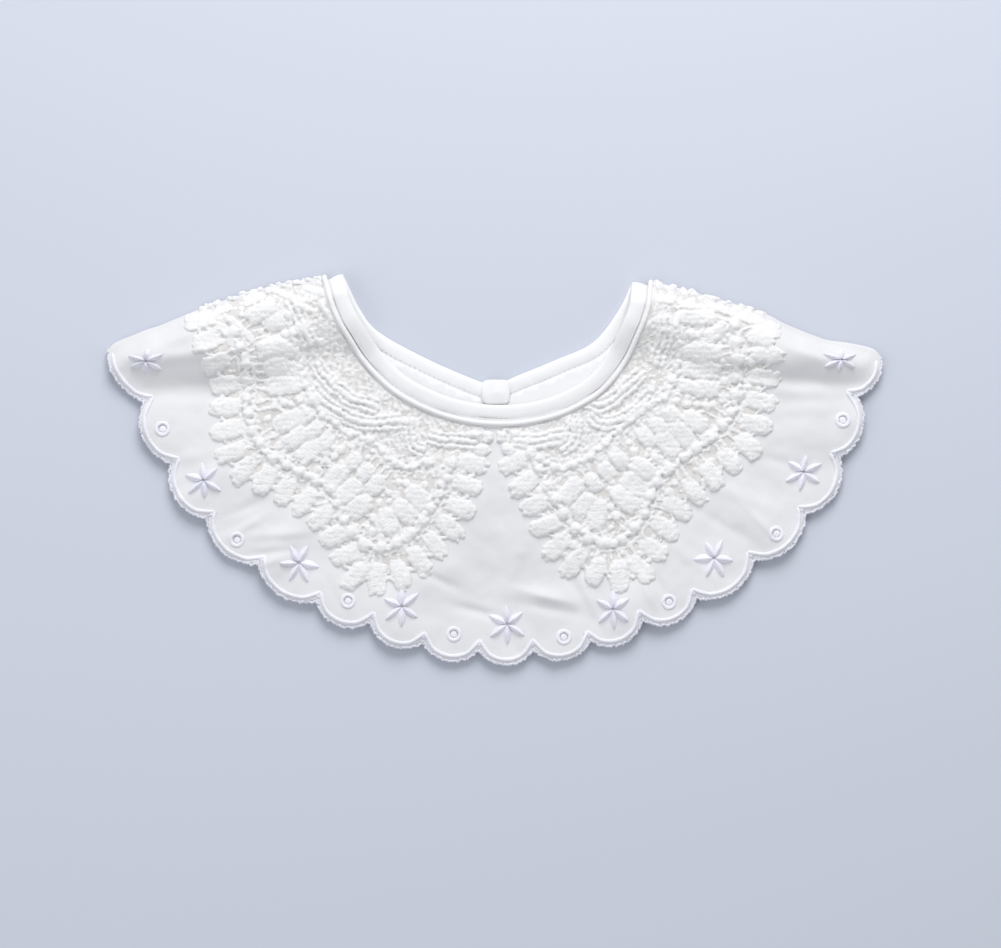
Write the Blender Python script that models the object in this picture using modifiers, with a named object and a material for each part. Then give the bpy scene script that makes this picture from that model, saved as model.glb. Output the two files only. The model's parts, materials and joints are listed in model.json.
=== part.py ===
"""A child's detachable lace collar, laid flat and folded at the shoulders with its front on top.

The collar is a closed ring of white cotton. Its hem has seventeen scallops on the front half. Two
thick lace halves lie on the cotton and meet at the centre front. A padded band and a covered cord
finish the neck, and a small tab with a hidden snap closes the ring at the centre back.

Sizes inside the functions are millimetres. +X is to the right, +Y is towards the shoulder fold,
+Z is up, and the surface that the collar lies on is z = 0.
"""

import math

import bmesh
import bpy
from mathutils import Vector
from mathutils.geometry import delaunay_2d_cdt

MM = 0.001

# Cloth walls
COTTON = 1.0              # the front panel, with its hem turned and stitched
BACK_COTTON = 1.0
SEAM_GAP = 0.3
MAX_SLANT = 1.5           # how far a slanted wall is thickened upwards to stay a full wall

# Neck band, cord and closure
BAND_WIDTH = 6.0
BAND_THICK = 2.6
BACK_BAND_THICK = 2.2
CORD_RADIUS = 1.0
CORD_LIFT = 0.45
FRONT_BAND_RINGS = 37
BACK_BAND_RINGS = 19
CORD_RINGS = 52
TAB_WIDTH = 11.0
TAB_DEPTH = 9.0
TAB_THICK = 1.6

# Lace
LACE_WEB = 0.9            # the flat ground of the lace
LACE_PETAL = 2.3
LACE_BOBBLE = 2.2
LACE_CORD = 2.0
LACE_FROM_NECK = 9.2      # where the lace begins, measured from the neck edge
LACE_FROM_FOLD = 0.8
LACE_CORNER = 2.0         # rounds the corner between the neck and the fold
LACE_MIDDLE = 0.2         # the halves meet here
LACE_APART = 0.8
WEB_UNDER_CORD = 1.0      # the ground is drawn this much nearer to the neck and then trimmed
FIELD_SIDE = 140.0
FIELD_LOW = -60.0
PETAL_SIZE = (5.2, 3.1)   # half length and half width of a border petal
FAN_SIZE = (5.6, 3.0)
BOBBLE_RADIUS = 2.0
SMALL_BOBBLE_RADIUS = 1.6
CORD_HALF_WIDTH = 1.1
GAP_RADIUS = 2.3
PETAL_SIDES = 10
BOBBLE_SIDES = 6
GAP_SIDES = 8
PETAL_RIDGE = (0.62, 0.5)  # the raised top of a petal, as shares of its half length and half width

# How the collar lies: its axis leans a little, and the hem stands a little higher on the right
HEM_LEAN = 4.6
NECK_LEAN = 2.3
LEAN_LEVEL = 46.0
HEM_LEAN_REACH = 60.0
NECK_LEAN_REACH = 27.0
HEM_TILT = 0.008

# Half of the neck edge: distance from the axis, y
NECK_EDGE = [(0.0, 24.2), (11.0, 25.1), (23.0, 28.4), (35.4, 35.2), (44.1, 44.5), (49.3, 53.7), (53.5, 62.5)]
NECK_CORNERS = {-1: (-58.8, 74.6), 1: (53.4, 71.4)}

# Half of the row of points where two scallops meet: distance from the axis, y
SCALLOP_MEETINGS = [(10.3, -66.9), (31.5, -63.8), (51.3, -55.8), (72.0, -47.8),
                    (93.8, -33.6), (113.4, -16.3), (126.4, 4.5), (134.8, 28.6)]
MEETING_OUT = 3.1         # the notch lies this far outside the meeting point
SCALLOP_DEPTH = 6.2
TIP_DEPTH = 3.4           # the half scallop at each shoulder tip is shallower
SCALLOP_STEPS = 8
TIPS = {-1: (-150.0, 44.3), 1: (150.0, 41.6)}

# The shoulder fold from the neck corner to the tip, seen from above
FOLDS = {
    -1: [(-58.8, 74.6), (-66.0, 72.8), (-84.5, 70.0), (-107.0, 63.4), (-121.5, 58.0), (-131.0, 53.7),
         (-145.5, 47.8), (-150.0, 44.3)],
    1: [(53.4, 71.4), (68.0, 69.4), (87.0, 64.2), (105.0, 59.0), (113.0, 54.9), (128.5, 49.0),
        (145.5, 45.4), (150.0, 41.6)],
}

# Top edge of the back neck band, from the shoulder corner to the centre back
BACK_NECK = {
    -1: [(-58.8, 74.6), (-52.5, 61.5), (-45.0, 52.5), (-26.0, 42.0), (-8.0, 34.2), (-0.4, 31.6)],
    1: [(53.4, 71.4), (48.0, 60.5), (38.3, 48.5), (23.5, 41.6), (8.0, 35.2), (0.4, 31.6)],
}
TAB_PLACE = (0.5, 29.6)

# The rows of the lace, as curves through a few points of each half
LACE_ROWS = {
    -1: {
        "border": ([(-5.5, 0.5), (-12.5, -21.0), (-24.5, -36.0), (-37.5, -45.0), (-55.5, -45.0),
                    (-63.0, -30.5), (-73.5, -17.5), (-90.5, -8.0), (-103.0, -0.5), (-107.0, 14.5),
                    (-106.5, 32.0), (-110.0, 44.5), (-113.5, 56.0)], 23),
        "bobble": ([(-16.5, 2.0), (-22.0, -11.5), (-32.0, -25.5), (-45.5, -31.5), (-58.0, -22.5),
                    (-62.5, -9.5), (-75.5, -2.0), (-89.0, 6.5), (-96.0, 20.0), (-96.5, 39.5),
                    (-101.5, 52.0)], 25),
        "fan": ([(-30.0, -12.0), (-37.5, -19.5), (-47.5, -21.5), (-55.5, -11.5), (-65.0, -0.5),
                 (-76.5, 10.5), (-83.0, 24.0), (-84.0, 37.5), (-87.5, 52.5), (-90.5, 60.0)], 17),
        "net": ([(-25.5, 2.0), (-37.0, 0.5), (-47.5, 9.5), (-61.5, 16.5), (-70.5, 25.5),
                 (-75.5, 37.5), (-77.0, 47.5), (-80.0, 58.5)], 14),
    },
    1: {
        "border": ([(5.5, 0.5), (16.0, -19.5), (25.5, -36.0), (40.5, -43.5), (56.5, -43.0),
                    (68.0, -26.0), (75.5, -15.0), (91.0, -1.0), (101.5, 8.0), (105.5, 24.0),
                    (107.5, 39.5), (107.5, 53.0)], 21),
        "bobble": ([(14.0, 5.0), (20.5, -7.0), (30.5, -22.0), (45.5, -30.0), (57.5, -20.0),
                    (62.5, -6.0), (76.0, 5.5), (87.0, 13.5), (94.5, 27.0), (94.0, 45.5),
                    (93.0, 55.0)], 24),
        "fan": ([(30.0, -9.5), (38.0, -18.0), (46.5, -18.0), (54.5, -7.0), (61.5, 4.5), (72.0, 12.0),
                 (80.5, 21.5), (82.5, 32.0), (81.5, 47.5), (80.0, 58.0)], 17),
        "net": ([(17.5, 3.5), (26.5, -0.5), (37.0, 4.5), (46.5, 13.0), (56.5, 21.5), (67.5, 29.0),
                 (71.5, 41.0), (70.5, 55.0)], 13),
    },
}

# Thick cords of the lace between the neck and the petals
LACE_CORDS = {
    -1: [[(-71.0, 29.5), (-66.5, 25.5), (-58.0, 19.5), (-49.5, 17.0), (-37.0, 18.0)],
         [(-69.5, 39.5), (-63.0, 32.5), (-55.5, 26.5), (-46.0, 23.5)],
         [(-32.0, 18.0), (-31.5, 9.0), (-27.5, 6.5)],
         [(-25.5, 12.0), (-18.0, 10.5), (-8.0, 10.0)],
         [(-78.5, 65.0), (-74.5, 56.0), (-71.5, 47.5)]],
    1: [[(37.5, 21.0), (42.0, 17.5), (48.0, 18.0), (55.0, 22.0), (60.5, 27.0)],
        [(34.5, 26.0), (41.0, 24.5), (49.5, 29.5), (57.0, 36.5)],
        [(31.5, 18.0), (30.5, 11.0), (26.0, 7.0)],
        [(8.0, 11.0), (17.5, 10.0), (27.0, 12.5)],
        [(66.5, 58.0), (66.0, 49.0), (63.0, 40.5)]],
}

# Gaps over 4 mm in the lace net
LACE_GAPS = {
    -1: [(-41.5, 12.0), (-67.0, 21.2), (-80.5, 4.6), (-53.0, 6.0)],
    1: [(40.0, 10.4), (52.2, 16.2), (62.6, 23.0), (60.0, -5.0), (68.0, 33.8)],
}

# Largest folds of the front panel: middle, direction in degrees, half length, half width, height
FRONT_FOLDS = [
    ((22.0, -50.5), -8.0, 17.0, 4.0, 1.0),
    ((-22.0, -42.0), 32.0, 16.0, 6.0, 0.9),
    ((100.0, -20.0), -48.0, 24.0, 8.0, 2.4),
    ((-112.0, -6.0), 40.0, 22.0, 9.0, 2.2),
    ((126.0, 14.0), 5.0, 22.0, 9.0, 1.8),
    ((-84.0, -34.0), 55.0, 20.0, 8.0, 2.0),
    ((-134.0, 14.0), -8.0, 20.0, 9.0, 1.6),
    ((52.0, -56.0), -65.0, 16.0, 9.0, 1.6),
    ((-40.0, -62.0), 70.0, 15.0, 9.0, 1.5),
    ((4.0, -20.0), 90.0, 22.0, 9.0, 0.8),
]
LAYER_HEIGHT = 1.4        # underside of the front panel over the back panel
NECK_LAYER = 1.5          # added where the front lies on the back neck band
NECK_LAYER_LOW = 38.0     # the added height begins at this y
NECK_LAYER_RISE = 12.0
NECK_LAYER_SIDE = 62.0
NECK_LAYER_FALL = 14.0
SHOULDER_ROLL = 4.2       # the soft roll along the shoulder fold
ROLL_RISE = 9.0           # the roll is at its full height this far from the fold
ROLL_LOW = 58.0           # the roll ends below this y near the neck
ROLL_LOW_DROP = 13.0      # and this much lower on the wings
ROLL_FALL = 15.0
ROLL_INNER = (30.0, 20.0)
WING_ROLL = 2.2           # added on the wings, outside the lace
WING_INNER = (100.0, 16.0)
WING_SPAN = (60.0, 35.0)
TIP_SPAN = (132.0, 18.0)
TIP_FLATTER = 0.6
HEM_LIFT = 1.2
HEM_LIFT_REACH = 26.0
SLOPE_STEP = 0.5

# Triangles of the front panel
PANEL_GRID = 7.5
GRID_FIELD = (160.0, 90.0)
EDGE_CLEAR = 0.45         # share of the grid step that stays free of points at the outline
LACE_CLEAR = 2.6          # free of points round the border of the lace

# Back panels
CORNER_CLEAR = 1.5        # the panels end this far from the ends of the neck seam
BACK_INSET = 0.8          # the back hem hides this far under the front hem
BACK_SLIT = 0.4           # half of the slit at the centre back
TAB_ROUND = 0.6

SHIFT_Y = 0.8             # moves the whole collar so that its middle is the origin
WELD_DISTANCE = 0.00001   # metres
SHARP_ANGLE = math.radians(50.0)


def clear_scene():
    """Remove every object of the file."""
    for item in list(bpy.data.objects):
        bpy.data.objects.remove(item, do_unlink=True)


def make_material(name, colour, roughness):
    """A plain Principled material for one sub-part."""
    material = bpy.data.materials.new(name)
    material.use_nodes = True
    shader = material.node_tree.nodes["Principled BSDF"]
    shader.inputs["Base Color"].default_value = (*colour, 1.0)
    shader.inputs["Roughness"].default_value = roughness
    shader.inputs["Metallic"].default_value = 0.0
    return material


def ease(value):
    """Zero below 0, one above 1, and smooth between."""
    value = min(1.0, max(0.0, value))
    return value * value * (3.0 - 2.0 * value)


def step_over(value, span):
    """Zero up to the start of a span, given as its start and length, and one after its end."""
    return ease((value - span[0]) / span[1])


def smooth_curve(points, per_span=8):
    """A Catmull-Rom curve through the points."""
    first = tuple(2 * a - b for a, b in zip(points[0], points[1]))
    last = tuple(2 * a - b for a, b in zip(points[-1], points[-2]))
    padded = [first, *points, last]
    curve = []
    for index in range(1, len(padded) - 2):
        before, start, end, after = padded[index - 1:index + 3]
        for step in range(per_span):
            t = step / per_span
            curve.append(tuple(
                0.5 * (2 * b + (c - a) * t + (2 * a - 5 * b + 4 * c - d) * t ** 2
                       + (3 * b - a - 3 * c + d) * t ** 3)
                for a, b, c, d in zip(before, start, end, after)))
    curve.append(tuple(points[-1]))
    return curve


def walk(curve, count):
    """Evenly spaced places along a curve, each a point and the direction there."""
    reach = [0.0]
    for a, b in zip(curve, curve[1:]):
        reach.append(reach[-1] + math.dist(a, b))
    places = []
    span = 0
    for step in range(count):
        target = reach[-1] * step / (count - 1)
        while span < len(curve) - 2 and reach[span + 1] < target:
            span += 1
        a, b = curve[span], curve[span + 1]
        length = reach[span + 1] - reach[span]
        share = (target - reach[span]) / length
        point = (a[0] + (b[0] - a[0]) * share, a[1] + (b[1] - a[1]) * share)
        places.append((point, ((b[0] - a[0]) / length, (b[1] - a[1]) / length)))
    return places


def offset_curve(curve, distance):
    """The curve moved to its right-hand side by a distance."""
    moved = []
    for index, point in enumerate(curve):
        a = curve[max(0, index - 1)]
        b = curve[min(len(curve) - 1, index + 1)]
        length = math.dist(a, b)
        moved.append((point[0] + (b[1] - a[1]) / length * distance,
                      point[1] - (b[0] - a[0]) / length * distance))
    return moved


def signed_area(loop):
    """Positive for a loop that runs counter-clockwise."""
    total = 0.0
    for a, b in zip(loop, loop[1:] + loop[:1]):
        total += a[0] * b[1] - b[0] * a[1]
    return total / 2


def counter_clockwise(loop):
    """The loop, turned round where it runs clockwise."""
    return list(loop) if signed_area(loop) > 0 else list(reversed(loop))


def inside(point, loop):
    """Whether a point lies inside a closed loop."""
    x, y = point
    hit = False
    for a, b in zip(loop, loop[1:] + loop[:1]):
        if (a[1] > y) != (b[1] > y) and x < a[0] + (b[0] - a[0]) * (y - a[1]) / (b[1] - a[1]):
            hit = not hit
    return hit


def distance_to(point, curve):
    """Shortest distance from a point to an open curve."""
    best = math.inf
    for a, b in zip(curve, curve[1:]):
        dx, dy = b[0] - a[0], b[1] - a[1]
        share = ((point[0] - a[0]) * dx + (point[1] - a[1]) * dy) / (dx * dx + dy * dy)
        share = min(1.0, max(0.0, share))
        best = min(best, math.hypot(point[0] - a[0] - share * dx, point[1] - a[1] - share * dy))
    return best


def axis_at(y):
    """Where the collar's middle line lies at a height y."""
    hem = math.sin(math.pi / 2 * min(1.0, max(0.0, (LEAN_LEVEL - y) / HEM_LEAN_REACH)))
    neck = min(1.0, max(0.0, (y - LEAN_LEVEL) / NECK_LEAN_REACH))
    return HEM_LEAN * hem - NECK_LEAN * neck


def neck_curve():
    """The whole neck edge of the front, from the left corner to the right corner."""
    left = [(axis_at(y) - half, y) for half, y in reversed(NECK_EDGE[1:])]
    right = [(axis_at(y) + half, y) for half, y in NECK_EDGE]
    return smooth_curve([NECK_CORNERS[-1], *left, *right, NECK_CORNERS[1]], 4)


def scallop(start, end, depth, steps):
    """Points of a round scallop from start to end, without its last point."""
    chord = math.dist(start, end)
    radius = (chord * chord / 4 + depth * depth) / (2 * depth)
    half_angle = math.asin(min(1.0, chord / (2 * radius)))
    along = ((end[0] - start[0]) / chord, (end[1] - start[1]) / chord)
    outward = (along[1], -along[0])
    points = []
    for step in range(steps):
        angle = -half_angle + 2 * half_angle * step / steps
        forward = chord / 2 + radius * math.sin(angle)
        out = radius * math.cos(angle) - (radius - depth)
        points.append((start[0] + along[0] * forward + outward[0] * out,
                       start[1] + along[1] * forward + outward[1] * out))
    return points


def scallop_notches():
    """The notches between the scallops, from the left tip to the right tip."""
    meetings = []
    for side in (-1, 1):
        half = [(axis_at(y) + side * width, y + HEM_TILT * side * width) for width, y in SCALLOP_MEETINGS]
        meetings += reversed(half) if side < 0 else half
    row = [TIPS[-1], *meetings, TIPS[1]]
    return offset_curve(row, MEETING_OUT)[1:-1]


def hem_curve():
    """The scalloped hem from the left tip to the right tip."""
    notches = [TIPS[-1], *scallop_notches(), TIPS[1]]
    points = []
    for index, (start, end) in enumerate(zip(notches, notches[1:])):
        at_tip = index in (0, len(notches) - 2)
        points += scallop(start, end, TIP_DEPTH if at_tip else SCALLOP_DEPTH, SCALLOP_STEPS)
    return points + [TIPS[1]]


def fold_height(x, y, fold):
    """Height that one soft fold adds at a place."""
    (middle_x, middle_y), degrees, half_length, half_width, height = fold
    turn = math.radians(degrees)
    along = (x - middle_x) * math.cos(turn) + (y - middle_y) * math.sin(turn)
    across = -(x - middle_x) * math.sin(turn) + (y - middle_y) * math.cos(turn)
    return height * math.exp(-(along / half_length) ** 2 - (across / half_width) ** 2)


class Drape:
    """How high the underside of the front panel lies at each place."""

    def __init__(self):
        self.folds = {side: smooth_curve(FOLDS[side], 3) for side in (-1, 1)}
        self.hem = hem_curve()[::2]

    def underside(self, x, y):
        side = -1 if x < 0 else 1
        height = LAYER_HEIGHT
        out = abs(x)
        beside_neck = 1.0 - ease((out - NECK_LAYER_SIDE) / NECK_LAYER_FALL)
        height += NECK_LAYER * ease((y - NECK_LAYER_LOW) / NECK_LAYER_RISE) * beside_neck
        from_fold = distance_to((x, y), self.folds[side])
        below_crest = ROLL_LOW - ROLL_LOW_DROP * step_over(out, WING_SPAN) - y
        rise = ease((from_fold + 1.0) / ROLL_RISE) - ease(1.0 / ROLL_RISE)
        roll = SHOULDER_ROLL + WING_ROLL * step_over(out, WING_INNER)
        tip = 1.0 - TIP_FLATTER * step_over(out, TIP_SPAN)
        height += roll * tip * rise * (1.0 - ease(below_crest / ROLL_FALL)) * step_over(out, ROLL_INNER)
        height += HEM_LIFT * (1.0 - ease(distance_to((x, y), self.hem) / HEM_LIFT_REACH))
        for fold in FRONT_FOLDS:
            height += fold_height(x, y, fold)
        return height

    def top(self, x, y):
        here = self.underside(x, y)
        slope_x = (self.underside(x + SLOPE_STEP, y) - here) / SLOPE_STEP
        slope_y = (self.underside(x, y + SLOPE_STEP) - here) / SLOPE_STEP
        slant = min(MAX_SLANT, math.sqrt(1.0 + slope_x ** 2 + slope_y ** 2))
        return here + COTTON * slant


def triangulate(points, loops):
    """Delaunay triangles that keep every loop. Returns points, triangles and each triangle's loops."""
    vectors = [Vector(point) for point in points]
    verts, _, faces, sources, _, face_loops = delaunay_2d_cdt(vectors, [], loops, 0, 1e-5)
    return [tuple(vert) for vert in verts], faces, sources, face_loops


def border_edges(faces):
    """Directed edges that only one triangle has."""
    edges = {}
    for face in faces:
        for a, b in zip(face, face[1:] + face[:1]):
            edges[(a, b)] = True
    return [edge for edge in edges if (edge[1], edge[0]) not in edges]


def link_mesh(name, bm, material, collection):
    """Turn a bmesh in millimetres into a named object."""
    bmesh.ops.recalc_face_normals(bm, faces=bm.faces)
    bmesh.ops.scale(bm, vec=(MM, MM, MM), verts=bm.verts)
    mesh = bpy.data.meshes.new(name)
    bm.to_mesh(mesh)
    bm.free()
    mesh.materials.append(material)
    mesh.shade_smooth()
    mesh.set_sharp_from_angle(angle=SHARP_ANGLE)
    item = bpy.data.objects.new(name, mesh)
    collection.objects.link(item)
    return item


def shell_mesh(upper, lower):
    """A closed wall from an upper and a lower sheet, each a dict of points and a list of triangles.

    Both sheets share their border, whose points have the same names in both.
    """
    bm = bmesh.new()
    top_points, top_faces = upper
    low_points, low_faces = lower
    top = {key: bm.verts.new(point) for key, point in top_points.items()}
    low = {key: bm.verts.new(point) for key, point in low_points.items()}
    for face in top_faces:
        bm.faces.new([top[key] for key in face])
    for face in low_faces:
        bm.faces.new([low[key] for key in reversed(face)])
    for a, b in border_edges(top_faces):
        bm.faces.new([top[b], top[a], low[a]])
        bm.faces.new([top[b], low[a], low[b]])
    return bm


def motif_outline(place, direction, half_length, half_width, sides, square=0.8):
    """A rounded petal or bobble, its length across the row that it stands in."""
    outline = []
    for step in range(sides):
        angle = 2 * math.pi * (step + 0.5) / sides
        c, s = math.cos(angle), math.sin(angle)
        long = math.copysign(abs(c) ** square, c) * half_length
        wide = math.copysign(abs(s) ** square, s) * half_width
        outline.append((place[0] - direction[1] * long + direction[0] * wide,
                        place[1] + direction[0] * long + direction[1] * wide))
    return outline


def strip_outline(curve, half_width):
    """A closed outline round an open curve."""
    return offset_curve(curve, half_width) + offset_curve(curve, -half_width)[::-1]


def neck_half(side, distance):
    """One half of the neck edge moved outwards, from the lace's middle line to the shoulder."""
    moved = offset_curve(neck_curve(), distance)
    half = [point for point in moved if (point[0] - LACE_MIDDLE) * side > LACE_APART]
    return half[::-1] if side < 0 else half


def lace_limit(side):
    """The field that one lace half may fill: clear of the neck cord, the fold and the other half."""
    fold = smooth_curve(FOLDS[side], 3)
    near = [point for point in neck_half(side, LACE_FROM_NECK) if distance_to(point, fold) > LACE_CORNER]
    inset = offset_curve(fold, LACE_FROM_FOLD * side)
    far = [point for point in inset if point[0] * side > near[-1][0] * side + LACE_CORNER / 2]
    return near + far + [(side * FIELD_SIDE, FIELD_LOW), (LACE_MIDDLE + side * LACE_APART, FIELD_LOW)]


class LaceHalf:
    """The plan of one lace half: outlines in the plane, and how high their inner points stand."""

    def __init__(self, side):
        self.points = []
        self.relief = []
        self.loops = []
        self.kinds = []
        self.add_loop(lace_limit(side), "clip")
        rows = LACE_ROWS[side]
        self.add_web(side, rows["border"][0])
        for place, direction in walk(smooth_curve(rows["border"][0]), rows["border"][1]):
            self.add_motif(place, direction, PETAL_SIZE, PETAL_SIDES, LACE_PETAL)
        for place, direction in walk(smooth_curve(rows["fan"][0]), rows["fan"][1]):
            self.add_motif(place, direction, FAN_SIZE, PETAL_SIDES, LACE_PETAL)
        for place, direction in walk(smooth_curve(rows["bobble"][0]), rows["bobble"][1]):
            self.add_motif(place, direction, (BOBBLE_RADIUS, BOBBLE_RADIUS), BOBBLE_SIDES, LACE_BOBBLE)
        for place, direction in walk(smooth_curve(rows["net"][0]), rows["net"][1]):
            size = (SMALL_BOBBLE_RADIUS, SMALL_BOBBLE_RADIUS)
            self.add_motif(place, direction, size, BOBBLE_SIDES, LACE_BOBBLE)
        for points in LACE_CORDS[side]:
            self.add_cord(points)
        for place in LACE_GAPS[side]:
            self.add_loop(motif_outline(place, (1.0, 0.0), GAP_RADIUS, GAP_RADIUS, GAP_SIDES, 1.0), "gap")

    def add_loop(self, loop, kind):
        start = len(self.points)
        loop = counter_clockwise(loop)
        self.points += loop
        self.relief += [LACE_WEB] * len(loop)
        self.loops.append(list(range(start, start + len(loop))))
        self.kinds.append(kind)

    def add_web(self, side, border):
        neck = neck_half(side, LACE_FROM_NECK - WEB_UNDER_CORD)
        self.add_loop(neck[::2] + smooth_curve(border, 3)[::-1], "solid")

    def add_motif(self, place, direction, size, sides, height):
        self.add_loop(motif_outline(place, direction, *size, sides), "solid")
        if sides > BOBBLE_SIDES:
            long, wide = PETAL_RIDGE
            ridge = motif_outline(place, direction, size[0] * long, size[1] * wide, BOBBLE_SIDES)
        else:
            ridge = [place]
        self.points += ridge
        self.relief += [height] * len(ridge)

    def add_cord(self, points):
        curve = smooth_curve(points, 3)
        self.add_loop(strip_outline(curve, CORD_HALF_WIDTH), "solid")
        self.points += curve[1:-1]
        self.relief += [LACE_CORD] * (len(curve) - 2)

    def top_sheet(self):
        """Points with their relief, and the triangles that are lace."""
        points, faces, sources, face_loops = triangulate(self.points, self.loops)
        relief = [max([self.relief[source] for source in found], default=LACE_WEB) for found in sources]
        kept = []
        for face, found in zip(faces, face_loops):
            kinds = {self.kinds[index] for index in found}
            if "clip" in kinds and "solid" in kinds and "gap" not in kinds:
                kept.append(list(face))
        return points, relief, kept


def largest_piece(faces):
    """The triangles that hang together by edges with most others."""
    by_edge = {}
    for index, face in enumerate(faces):
        for a, b in zip(face, face[1:] + face[:1]):
            by_edge.setdefault(frozenset((a, b)), []).append(index)
    left = set(range(len(faces)))
    best = []
    while left:
        stack = [left.pop()]
        piece = []
        while stack:
            index = stack.pop()
            piece.append(index)
            face = faces[index]
            for a, b in zip(face, face[1:] + face[:1]):
                for other in by_edge[frozenset((a, b))]:
                    if other in left:
                        left.remove(other)
                        stack.append(other)
        if len(piece) > len(best):
            best = piece
    return [faces[index] for index in best]


def grid_points(step, keep):
    """A triangular grid of places that pass a test."""
    rise = step * math.sqrt(3) / 2
    places = []
    rows = int(GRID_FIELD[1] / rise)
    columns = int(GRID_FIELD[0] / step)
    for row in range(-rows, rows + 1):
        for column in range(-columns, columns + 1):
            place = ((column + 0.5 * (row % 2)) * step, row * rise)
            if keep(place):
                places.append(place)
    return places


def build_front(drape, cotton, lace, collection):
    """The front panel and the two lace halves, which are made on the panel's own triangles."""
    seam = offset_curve(neck_curve(), BAND_WIDTH + SEAM_GAP)
    left = [point for point in smooth_curve(FOLDS[-1], 3) if point[0] < seam[0][0] - CORNER_CLEAR]
    right = [point for point in smooth_curve(FOLDS[1], 3) if point[0] > seam[-1][0] + CORNER_CLEAR]
    outline = counter_clockwise(left + hem_curve()[1:-1] + right[::-1] + seam[::-1][::2])

    sheets = {}
    borders = []
    for side in (-1, 1):
        points, relief, faces = LaceHalf(side).top_sheet()
        faces = largest_piece(faces)
        sheets[side] = (points, relief, faces)
        borders += [points[a] for a, _ in border_edges(faces)]

    def open_place(place):
        if not inside(place, outline) or distance_to(place, outline + outline[:1]) < PANEL_GRID * EDGE_CLEAR:
            return False
        return all(math.dist(place, point) > LACE_CLEAR for point in borders)

    plan = list(outline)
    loops = [list(range(len(outline)))]
    for side in (-1, 1):
        points, _, faces = sheets[side]
        for ring in border_rings(faces):
            start = len(plan)
            plan += counter_clockwise([points[index] for index in ring])
            loops.append(list(range(start, len(plan))))
    grid = grid_points(PANEL_GRID, open_place)
    low_plan = list(outline) + grid
    plan += grid

    places, faces, _, face_loops = triangulate(plan, loops)
    panel_faces = [list(face) for face, found in zip(faces, face_loops) if found]
    names = {index: key_of(place) for index, place in enumerate(places)}
    upper_points = {names[i]: (*places[i], drape.top(*places[i])) for face in panel_faces for i in face}
    upper_faces = [[names[i] for i in face] for face in panel_faces]

    low_places, low_faces, _, low_found = triangulate(low_plan, loops[:1])
    low_names = {index: key_of(place) for index, place in enumerate(low_places)}
    low_faces = [[low_names[i] for i in face] for face, found in zip(low_faces, low_found) if found]
    lower_points = {low_names[i]: (*place, drape.underside(*place)) for i, place in enumerate(low_places)}
    panel = shell_mesh((upper_points, upper_faces), (lower_points, low_faces))
    link_mesh("front_panel", panel, cotton, collection)

    for side, name in ((-1, "lace_left"), (1, "lace_right")):
        points, relief, lace_faces = sheets[side]
        used = {index for face in lace_faces for index in face}
        top_points = {}
        for index in used:
            place = points[index]
            top_points[key_of(place)] = (*place, drape.top(*place) + SEAM_GAP + relief[index])
        top_faces = [[key_of(points[index]) for index in face] for face in lace_faces]
        covered = {frozenset((key_of(points[a]), key_of(points[b]))) for a, b in border_edges(lace_faces)}
        under = region_faces(upper_faces, upper_points, covered, points, lace_faces)
        under_points = {key: (*upper_points[key][:2], upper_points[key][2] + SEAM_GAP)
                        for face in under for key in face}
        link_mesh(name, shell_mesh((top_points, top_faces), (under_points, under)), lace, collection)


def key_of(place):
    """A name for a point of a sheet, the same wherever the point is met."""
    return (round(place[0], 3), round(place[1], 3))


def border_rings(faces):
    """The closed rings round a set of triangles."""
    after = {}
    for a, b in border_edges(faces):
        if a in after:
            raise ValueError("two parts of the lace meet at one point only")
        after[a] = b
    rings = []
    while after:
        start = next(iter(after))
        ring = [start]
        step = after.pop(start)
        while step != start:
            ring.append(step)
            step = after.pop(step)
        rings.append(ring)
    return rings


def region_faces(faces, points, walls, lace_points, lace_faces):
    """The triangles of the panel that lie under one lace half, found by spreading up to its border."""
    by_edge = {}
    for index, face in enumerate(faces):
        for a, b in zip(face, face[1:] + face[:1]):
            by_edge.setdefault(frozenset((a, b)), []).append(index)
    a, b = next(iter(border_edges(lace_faces)))
    start_edge = (key_of(lace_points[a]), key_of(lace_points[b]))
    stack = []
    for index, face in enumerate(faces):
        for pair in zip(face, face[1:] + face[:1]):
            if pair == start_edge:
                stack.append(index)
    found = set(stack)
    while stack:
        face = faces[stack.pop()]
        for pair in zip(face, face[1:] + face[:1]):
            edge = frozenset(pair)
            if edge in walls:
                continue
            for other in by_edge[edge]:
                if other not in found:
                    found.add(other)
                    stack.append(other)
    return [faces[index] for index in sorted(found)]


def loft(name, sections, material, collection):
    """A closed tube through rings of equal counts of points, with flat ends."""
    bm = bmesh.new()
    rings = [[bm.verts.new(point) for point in section] for section in sections]
    count = len(rings[0])
    for ring, following in zip(rings, rings[1:]):
        for index in range(count):
            after = (index + 1) % count
            bm.faces.new([ring[index], ring[after], following[after], following[index]])
    bm.faces.new(rings[0])
    bm.faces.new(rings[-1][::-1])
    return link_mesh(name, bm, material, collection)


# One cross section of a neck band: share of the width, share of the thickness
BAND_SECTION = [(-0.5, 0.35), (-0.42, 0.78), (-0.2, 0.98), (0.08, 1.0), (0.32, 0.82), (0.47, 0.5),
                (0.5, 0.22), (0.4, 0.0), (-0.4, 0.0), (-0.5, 0.12)]


def band_sections(curve, count, floor_at, thick):
    """Cross sections of a band whose neck edge follows the curve."""
    sections = []
    for place, direction in walk(curve, count):
        outward = (direction[1], -direction[0])
        middle = (place[0] + outward[0] * BAND_WIDTH / 2, place[1] + outward[1] * BAND_WIDTH / 2)
        floor = floor_at(*middle)
        section = []
        for across, up in BAND_SECTION:
            section.append((middle[0] + outward[0] * across * BAND_WIDTH,
                            middle[1] + outward[1] * across * BAND_WIDTH,
                            floor + up * thick))
        sections.append(section)
    return sections


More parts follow.
